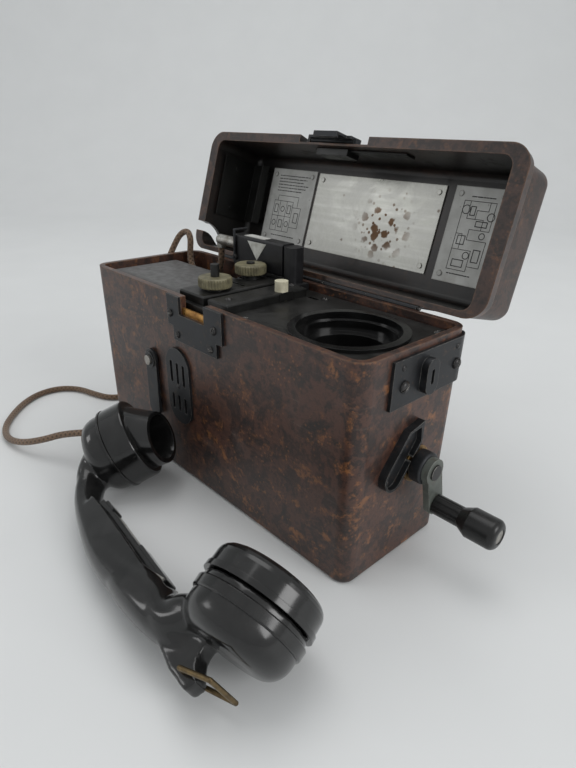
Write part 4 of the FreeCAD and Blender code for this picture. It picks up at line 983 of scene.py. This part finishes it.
def add_handset():
    """The handset's shell with fuller necks and the soft fillets of one moulding."""
    mesh = bmesh.new()
    mesh.from_mesh(NODES["handset_shell"].data)
    for centre, radii, tilt in SHOULDERS:
        add_shoulder(mesh, centre, radii, tilt)
    add_rails(mesh)
    bmesh.ops.remove_doubles(mesh, verts=mesh.verts, dist=HANDSET_WELD)
    data = bpy.data.meshes.new("moulded_handset")
    mesh.to_mesh(data)
    mesh.free()
    shell = bpy.data.objects.new("moulded_handset", data)
    bpy.context.scene.collection.objects.link(shell)
    remesh = shell.modifiers.new("remesh", "REMESH")
    remesh.mode = "VOXEL"
    remesh.voxel_size = HANDSET_VOXEL
    smooth = shell.modifiers.new("smooth", "SMOOTH")
    smooth.factor = 0.5
    smooth.iterations = HANDSET_SMOOTHING
    graph = bpy.context.evaluated_depsgraph_get()
    moulded = bpy.data.meshes.new_from_object(shell.evaluated_get(graph))
    shell.modifiers.clear()
    shell.data = moulded
    moulded.materials.clear()
    moulded.materials.append(FINISH["handset_black"])
    moulded.shade_smooth()
    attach(shell, "handset")
    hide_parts("handset_shell")


BAND_SIDES = 72


def add_band(name, profile, centre, tilt):
    """A turned ring round a cap, from (distance along the axis, radius) pairs."""
    mesh = bmesh.new()
    place = handset_frame() @ Matrix.Translation(centre) @ Matrix.Rotation(-tilt, 4, "Z")
    rings = []
    for along, radius in profile:
        ring = []
        for side in range(BAND_SIDES):
            turn = 2 * math.pi * side / BAND_SIDES
            local = Vector((radius * math.cos(turn), along, radius * math.sin(turn))) * MM
            ring.append(mesh.verts.new(place @ local))
        rings.append(ring)
    for low, high in zip(rings, rings[1:] + rings[:1]):
        for side in range(BAND_SIDES):
            after = (side + 1) % BAND_SIDES
            mesh.faces.new((low[side], low[after], high[after], high[side]))
    add_piece(name, mesh, "handset_black", "handset")


RECEIVER_BAND = (
    (-10.2, 27.5),
    (-10.0, 29.6),
    (-9.3, 30.2),
    (-4.6, 30.5),
    (-3.9, 30.0),
    (-3.7, 27.5),
)
TRANSMITTER_RIB = (
    (-19.6, 27.0),
    (-19.4, 29.4),
    (-18.9, 30.0),
    (-17.6, 30.0),
    (-17.1, 29.4),
    (-16.9, 27.0),
)


def add_bands():
    """The second ring below the ear cap and the rib behind the mouthpiece's cap."""
    add_band("receiver_band", RECEIVER_BAND, Vector(), 0.0)
    add_band("transmitter_rib", TRANSMITTER_RIB, TRANSMITTER_CENTRE, TRANSMITTER_TILT)


STEP_CHAMFER = (0.01, 0.5)
SLOT_HALF_WIDTH = 1.7
SLOT_OUTLINE = ((0.22, 0.4), (0.52, 0.4), (0.52, 0.95), (0.22, 0.95))
BAR_STEPS = (
    # start and end as parts of the bar's length, rise and half width in millimetres
    (0.02, 0.14, 1.6, 4.6),
    (0.60, 0.97, 2.0, 4.8),
    (0.17, 0.57, 0.7, 5.2),
)


def add_bar_steps():
    """Raised lengths on the talk bar and the pale slot between them."""
    top = BAR_THICKNESS / MM
    inward, down = STEP_CHAMFER
    steps = bmesh.new()
    for start, end, rise, half_width in BAR_STEPS:
        profile = [
            (start, -0.3),
            (end, -0.3),
            (end, rise - down),
            (end - inward, rise),
            (start + inward, rise),
            (start, rise - down),
        ]
        corners = [bar_point(part, top + up, -half_width) for part, up in profile]
        depth = bar_point(0, 0, half_width) - bar_point(0, 0, -half_width)
        add_prism(steps, corners, depth)
    add_piece("talk_bar_steps", steps, "handset_black", "talk_switch")
    slot = bmesh.new()
    corners = [bar_point(part, top + up, -SLOT_HALF_WIDTH) for part, up in SLOT_OUTLINE]
    depth = bar_point(0, 0, SLOT_HALF_WIDTH) - bar_point(0, 0, -SLOT_HALF_WIDTH)
    add_prism(slot, corners, depth)
    add_piece("talk_bar_slot", slot, "bright_steel", "talk_switch")


add_fasteners()
add_lid_details()
add_plug_marks()
add_button_guard()
add_handset()
add_bands()
add_bar_steps()

# ---------------------------------------------------------------- the cord

CORD_DIAMETER = 5.2 * MM
CORD_POINTS = [
    (-83.5, 36.6, 152.5),
    (-83.5, 36.6, 143.5),
    (-85.6, 35.5, 133.5),
    (-94, 34, 127),
    (-104.5, 32.5, 124.5),
    (-115, 32, 126.5),
    (-124, 33, 133),
    (-127.5, 35.5, 143.5),
    (-128, 37, 153),
    (-134.3, 38.5, 158.8),
    (-141.1, 35, 155.4),
    (-143.2, 30, 146.5),
    (-145.5, 25.2, 136),
    (-147.3, 21.8, 126),
    (-149.64, 17.38, 113),
    (-151, 17.5, 86),
    (-152, 26, 54),
    (-155, 30, 27),
    (-161, 23, 9),
    (-167, 8, 3),
    (-169.5, -12, 2.7),
    (-177, -31, 2.7),
    (-196, -38.5, 2.7),
    (-216, -44, 2.7),
    (-230, -58, 2.7),
    (-231, -77, 2.7),
    (-221, -95, 2.7),
    (-204, -111.5, 2.7),
    (-183, -126, 2.7),
    (-160, -131.5, 4),
    (-138, -127.5, 8),
    (-119, -117, 15),
    (-103.5, -104.5, 23),
    (-86, -94.6, 27.5),
]


def spline_points(points):
    """Points along the smooth line whose control points are given, in metres."""
    curve = bpy.data.curves.new("route", "CURVE")
    curve.dimensions = "3D"
    spline = curve.splines.new("NURBS")
    spline.points.add(len(points) - 1)
    for target, (x, y, z) in zip(spline.points, points):
        target.co = (x * MM, y * MM, z * MM, 1.0)
    spline.order_u = 3
    spline.use_endpoint_u = True
    spline.resolution_u = 14
    carrier = bpy.data.objects.new("route", curve)
    bpy.context.scene.collection.objects.link(carrier)
    line = bpy.data.meshes.new_from_object(carrier)
    found = [vertex.co.copy() for vertex in line.vertices]
    bpy.data.objects.remove(carrier)
    bpy.data.meshes.remove(line)
    bpy.data.curves.remove(curve)
    return found


def rings_along(points):
    """Each point with two directions across the line there, turning as little as it can."""
    across = Vector((0, 1, 0))
    rings = []
    for index, point in enumerate(points):
        ahead = (points[min(index + 1, len(points) - 1)] - points[max(index - 1, 0)]).normalized()
        across = (across - ahead * across.dot(ahead)).normalized()
        rings.append((point, across.copy(), ahead.cross(across)))
    return rings


CORD_SIDES = 20


def woven_tube(name, points, radius):
    """A closed tube along the points, with length and turn as its UVs."""
    mesh = bmesh.new()
    layer = mesh.loops.layers.uv.new("weave")
    rings = []
    runs = []
    run = 0.0
    for index, (point, side, lift) in enumerate(rings_along(points)):
        if index:
            run += (point - points[index - 1]).length
        runs.append(run)
        ring = []
        for step in range(CORD_SIDES):
            turn = 2 * math.pi * step / CORD_SIDES
            outward = math.cos(turn) * side + math.sin(turn) * lift
            ring.append(mesh.verts.new(point + radius * outward))
        rings.append(ring)
    for index, (near, far) in enumerate(zip(rings, rings[1:])):
        for step in range(CORD_SIDES):
            after = (step + 1) % CORD_SIDES
            face = mesh.faces.new((near[step], far[step], far[after], near[after]))
            corners = [
                (runs[index], step),
                (runs[index + 1], step),
                (runs[index + 1], step + 1),
                (runs[index], step + 1),
            ]
            for loop, (length, turn) in zip(face.loops, corners):
                loop[layer].uv = (length, turn / CORD_SIDES)
    mesh.faces.new(rings[0])
    mesh.faces.new(reversed(rings[-1]))
    data = bpy.data.meshes.new(name)
    bmesh.ops.recalc_face_normals(mesh, faces=mesh.faces)
    mesh.to_mesh(data)
    mesh.free()
    data.shade_smooth()
    made = bpy.data.objects.new(name, data)
    bpy.context.scene.collection.objects.link(made)
    return made


def add_cord():
    """The braided cord from the plug, through the lid's slot, to the handset."""
    points = spline_points(CORD_POINTS)
    cord = woven_tube("braided_cord", points, CORD_DIAMETER / 2)
    cord.data.materials.append(FINISH["cord_brown"])
    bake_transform(cord)
    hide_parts("inner_lead", "handset_cord")


add_cord()
